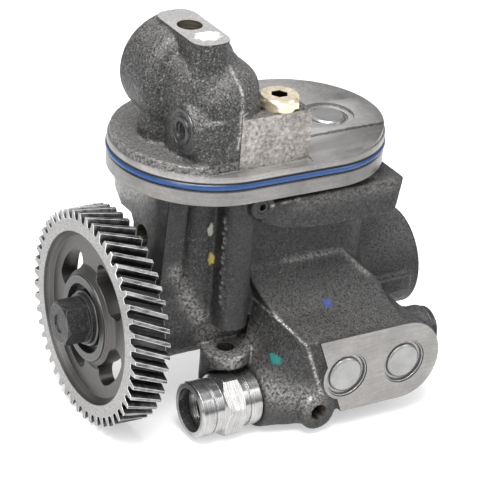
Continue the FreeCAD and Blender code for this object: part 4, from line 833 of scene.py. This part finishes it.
def cast_housing(material):
    """The casting: soft where it was cast, with seams, beads and lumps."""
    source = welded_copy("pump_housing")
    tree = BVHTree.FromPolygons([v.co for v in source.vertices],
                                [p.vertices for p in source.polygons])
    draft = add_object("housing_draft", source)
    remesh = draft.modifiers.new("remesh", "REMESH")
    remesh.mode = "VOXEL"
    remesh.voxel_size = VOXEL
    mesh = applied(draft)
    # Each vertex goes to the nearest place on the CAD surface, which gives its finish
    hits = [tree.find_nearest(p)[:2] for p in vectors(mesh.vertices, "co")]
    near = np.array([h[0] for h in hits])
    normal = np.array([h[1] for h in hits])
    zone = finish_of(near, normal)
    edges = edge_array(mesh)
    machined = np.isin(zone, (MILLED, COARSE, SKIMMED))
    fixed = grown(machined | (zone == BORED), edges, CRISP_RINGS)
    place = relaxed(near, edges, ~fixed, CAST_ROUNDS)
    # Ridges, beads, lumps and grain on the cast skin; machined faces drop below their covers
    flash = route_distance(place, FLASH_RIDGE)
    seam = route_distance(place, DOME_SEAM)
    beads = bead_distance(place)
    rise = FLASH_RISE * bell(flash, RIDGE_WIDTH) + SEAM_RISE * bell(seam, RIDGE_WIDTH)
    rise += BEAD_RISE * bell(beads, BEAD_R)
    rise += FLANGE_FLASH_RISE * bell(route_distance(place, FLANGE_FLASH), RIDGE_WIDTH)
    for i in np.nonzero(~fixed)[0]:
        p = Vector(place[i]) / MM
        rise[i] += noise.noise(p / CAST_LUMP_SIZE) * CAST_LUMP
        rise[i] += noise.noise(p / CAST_GRAIN_SIZE) * CAST_GRAIN - CAST_LUMP / 2
    rise[fixed] = 0.0
    rise[machined] = -SKIN_DEPTH
    place = place + normal * rise[:, None] * MM
    # Bare metal on worn ridges, seams, beads and scuffs, and a painted highlight along the shelf's
    # edge
    scuff_and_highlight = 1.2 * bell(flash, WORN_WIDTH) + 1.3 * bell(seam, WORN_WIDTH) + 0.8 * bell(beads, 0.9)
    for route, width, strength in SCUFFS_AND_HIGHLIGHTS:
        scuff_and_highlight += strength * bell(route_distance(place, route), width)
    scuff_and_highlight += plate_wear(place)
    mesh.vertices.foreach_set("co", place.astype(np.float32).ravel())
    for name, values in (("scuff_and_highlight", np.clip(scuff_and_highlight, 0, 1)), ("bored", zone == BORED)):
        layer = mesh.attributes.new(name, "FLOAT", "POINT")
        layer.data.foreach_set("value", values.astype(np.float32))
    mesh.update()
    obj = new_object("cast_housing", mesh, [material], CAST_ANGLE)
    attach(obj, "housing")
    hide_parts("pump_housing")


def split_at(mesh, levels):
    """Splits a mesh's faces where they cross upright planes across x, in mm."""
    with editing(mesh) as bm:
        for x in levels:
            bmesh.ops.bisect_plane(bm, geom=bm.verts[:] + bm.edges[:] + bm.faces[:], dist=1e-7,
                                   plane_co=(x * MM, 0, 0), plane_no=(1, 0, 0))


def machined_skin(materials):
    """The machined faces of the casting, crisp and with their edges broken."""
    mesh = welded_copy("pump_housing")
    split_at(mesh, (BLOCK_MILLED_X, PLATE_CAST_X))
    zone = finish_of(vectors(mesh.polygons, "center"), vectors(mesh.polygons, "normal"))
    kinds = (MILLED, COARSE, SKIMMED)
    with editing(mesh) as bm:
        for face, kind in zip(bm.faces, zone):
            face.material_index = int(kind)
        rest = [face for face in bm.faces if face.material_index not in kinds]
        bmesh.ops.delete(bm, geom=rest, context="FACES")
        bmesh.ops.dissolve_limit(bm, angle_limit=math.radians(FLAT_ANGLE),
                                 verts=bm.verts, edges=bm.edges, delimit={"MATERIAL"})
        for face in bm.faces:
            face.material_index = kinds.index(face.material_index)
    set_materials(mesh, materials)
    skin = new_object("machined_faces", bevelled("skin_draft", mesh, SKIN_EDGE), materials)
    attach(skin, "housing")


def boss_cover(material):
    """The stepped cover in the round boss on the tower's flank."""
    x = BOSS_FACE_X
    profile = [(x + 0.9, 11.6), (x - 0.3, 11.2), (x - 0.3, 9.4), (x + 0.6, 9.0),
               (x + 0.6, 7.4), (x - 0.9, 7.0), (x - 1.1, 6.4), (x - 1.1, 4.8),
               (x + 0.2, 4.5), (x + 0.6, 4.0), (x + 1.2, 4.0)]
    lathe("boss_cover", profile, BOSS_CENTRE, 0, material)


def side_plug_ring(material):
    """The raised ring round the small gallery plug under the flange."""
    low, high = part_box("side_gallery_plug")
    y = low.y / MM
    profile = [(y + 1.0, 4.4), (y - 0.2, 4.3), (y - 0.4, 3.9), (y - 0.1, 3.4), (y + 0.9, 3.2)]
    lathe("side_plug_ring", profile, (low + high) / 2, 1, material)


# Stage

def make_camera():
    """The camera at the photograph's angle, turned by its roll."""
    azimuth = math.radians(CAMERA_AZIMUTH)
    elevation = math.radians(CAMERA_ELEVATION)
    roll = math.radians(CAMERA_ROLL)
    back = Vector((math.sin(azimuth) * math.cos(elevation),
                   -math.cos(azimuth) * math.cos(elevation), math.sin(elevation)))
    level = Vector((math.cos(azimuth), math.sin(azimuth), 0.0))
    upright = back.cross(level)
    right = level * math.cos(roll) + upright * math.sin(roll)
    up = back.cross(right)
    data = bpy.data.cameras.new("camera")
    data.sensor_width = SENSOR
    data.lens = SENSOR * CAMERA_FOCAL_PIXELS / max(PHOTO_WIDTH, PHOTO_HEIGHT)
    data.clip_start = 0.05
    data.clip_end = 50.0
    camera = add_object("camera", data)
    turn = Matrix((right, up, back)).transposed()
    camera.matrix_world = Matrix.Translation(CAMERA_TARGET + back * CAMERA_DISTANCE) @ turn.to_4x4()
    bpy.context.scene.camera = camera


def area_light(name, place, size, power):
    data = bpy.data.lights.new(name, "AREA")
    data.shape = "RECTANGLE"
    data.size, data.size_y = size
    data.energy = power
    light = add_object(name, data)
    light.location = place
    turn = (LAMP_TARGET - Vector(place)).to_track_quat("-Z", "Y")
    light.rotation_euler = turn.to_euler()


def world_light():
    """Soft light from above with brighter and darker stretches, as between studio panels."""
    world = bpy.data.worlds.new("studio")
    bpy.context.scene.world = world
    world.use_nodes = True
    tree = world.node_tree
    place = tree.nodes.new("ShaderNodeTexCoord")
    split = tree.nodes.new("ShaderNodeSeparateXYZ")
    height = tree.nodes.new("ShaderNodeMapRange")
    panels = tree.nodes.new("ShaderNodeTexNoise")
    spread = tree.nodes.new("ShaderNodeMapRange")
    strength = tree.nodes.new("ShaderNodeMath")
    strength.operation = "MULTIPLY"
    panels.inputs["Scale"].default_value = 2.1
    panels.inputs["Detail"].default_value = 0.0
    sockets = ("From Min", "From Max", "To Min", "To Max")
    for node, values in ((height, (0.0, 0.75, 0.05, 1.05)), (spread, (0.40, 0.58, 0.45, 1.45))):
        for socket, value in zip(sockets, values):
            node.inputs[socket].default_value = value
    back = tree.nodes["Background"]
    back.inputs["Color"].default_value = (0.97, 0.98, 1.0, 1.0)
    for source, target in (
            (place.outputs["Generated"], split.inputs[0]),
            (split.outputs["Z"], height.inputs["Value"]),
            (place.outputs["Generated"], panels.inputs["Vector"]),
            (panels.outputs["Fac"], spread.inputs["Value"]),
            (height.outputs["Result"], strength.inputs[0]),
            (spread.outputs["Result"], strength.inputs[1]),
            (strength.outputs[0], back.inputs["Strength"])):
        tree.links.new(source, target)


def make_stage():
    """A pale floor, the studio's soft light and three lamps."""
    bpy.ops.mesh.primitive_plane_add(size=FLOOR_SIZE, location=(0, 0, cad_low.z - FLOOR_GAP))
    floor = bpy.context.object
    floor.name = "floor"
    g = Graph("floor")
    floor.data.materials.append(g.finish(
        Base_Color=(0.60, 0.60, 0.60, 1.0), Roughness=0.9,
        Emission_Color=(1.0, 1.0, 1.0, 1.0), Emission_Strength=0.45))
    world_light()
    for lamp in LAMPS:
        area_light(*lamp)
    bpy.context.scene.view_settings.view_transform = "Standard"


def dress():
    """Makes the pieces that stand for CAD nodes, and gives the other nodes their materials."""
    gear_steel = gear_material()
    bright_steel = steel("bright_steel", 0.22, 0.50, 0.22, (1600.0, 40.0, 40.0), 0.015)
    plug_steel = steel("plug_steel", 0.23, 0.35, 0.36, (60.0, 60.0, 60.0), 0.01)
    washer_steel = steel("washer_steel", 0.05, 0.14, 0.40, (60.0, 60.0, 60.0))
    bearing_steel = steel("bearing_steel", 0.45, 0.62, 0.25)
    # Lighter steel on broken edges: wear, and a painted highlight
    worn_edge_highlight = steel("worn_edge_highlight", 0.42, 0.78, 0.30, (260.0, 260.0, 260.0))
    scuffed_edge_highlight = steel("scuffed_edge_highlight", 0.05, 0.22, 0.40, (400.0, 400.0, 400.0))
    black_steel = stamped("black_steel", 0.010, 0.034, 0.17, 0.42, 0.5)
    dark_boss = stamped("dark_boss", 0.024, 0.070, 0.20, 0.34, 0.7)
    gold = gold_material()
    blue = rubber("blue_rubber", (0.004, 0.036, 0.135, 1.0), 0.30, RING_Z + 1.2)
    black = rubber("black_rubber", (0.012, 0.012, 0.013, 1.0))
    bronze = steel("bronze", 0.30, 0.45, 0.3, warm=0.35)
    cast = cast_material()
    cast_housing(cast)
    machined_skin([
        milled_material("milled_iron", 0.25, 0.43, (60.0, 60.0, 1500.0), 0.035, 0.10, 0.38, 0.35),
        milled_material("coarse_iron", 0.08, 0.54, (520.0, 520.0, 520.0), 0.06, 0.5, 0.5),
        skimmed_material()])
    boss_cover(dark_boss)
    side_plug_ring(washer_steel)
    # Node, piece, material, material of its broken edges (worn, and on some pieces lighter as a
    # painted highlight), their width in mm, slot
    for node, name, material, edge, width, slot in (
            ("drive_gear", "helical_gear", gear_steel, worn_edge_highlight, 0.35, "gear_steel"),
            ("gear_bolt", "hex_bolt", black_steel, scuffed_edge_highlight, 0.4, "dark_steel"),
            ("gear_washer", "bolt_washer", washer_steel, washer_steel, 0.25, "bearing_steel"),
            ("top_port_plug", "gold_hex_plug", gold, gold, 0.35, "gold_steel"),
            ("plate_cup_plug", "plate_cup", plug_steel, plug_steel, 0.4, "plug_steel"),
            ("block_cup_plugs", "block_cups", plug_steel, plug_steel, 0.4, "plug_steel"),
            ("end_plug", "end_plug_head", black_steel, scuffed_edge_highlight, 0.35, "dark_steel"),
            ("discharge_fitting", "hex_fitting", bright_steel, worn_edge_highlight, 0.3, "polished_steel"),
            ("rear_port_cap", "rear_cap", plug_steel, plug_steel, 0.3, "bearing_steel"),
            ("side_gallery_plug", "side_plug", black_steel, black_steel, 0.2, "dark_steel"),
            ("boss_plug", "boss_socket_plug", black_steel, black_steel, 0.2, "dark_steel")):
        softened(node, name, material, edge, width * MM)
    plain = {
        "gear_steel": gear_steel, "dark_steel": black_steel, "bearing_steel": bearing_steel,
        "polished_steel": bright_steel, "plug_steel": plug_steel, "gold_steel": gold,
        "blue_rubber": blue, "black_rubber": black, "bronze": bronze, "casting": cast}
    slots = {s["node"]: s["material_slot"] for s in frame["record"]["subparts"]}
    for node, obj in frame["nodes"].items():
        if obj.hide_render:
            continue
        obj.data.materials.clear()
        obj.data.materials.append(plain[slots[node]])


make_camera()
make_stage()
dress()
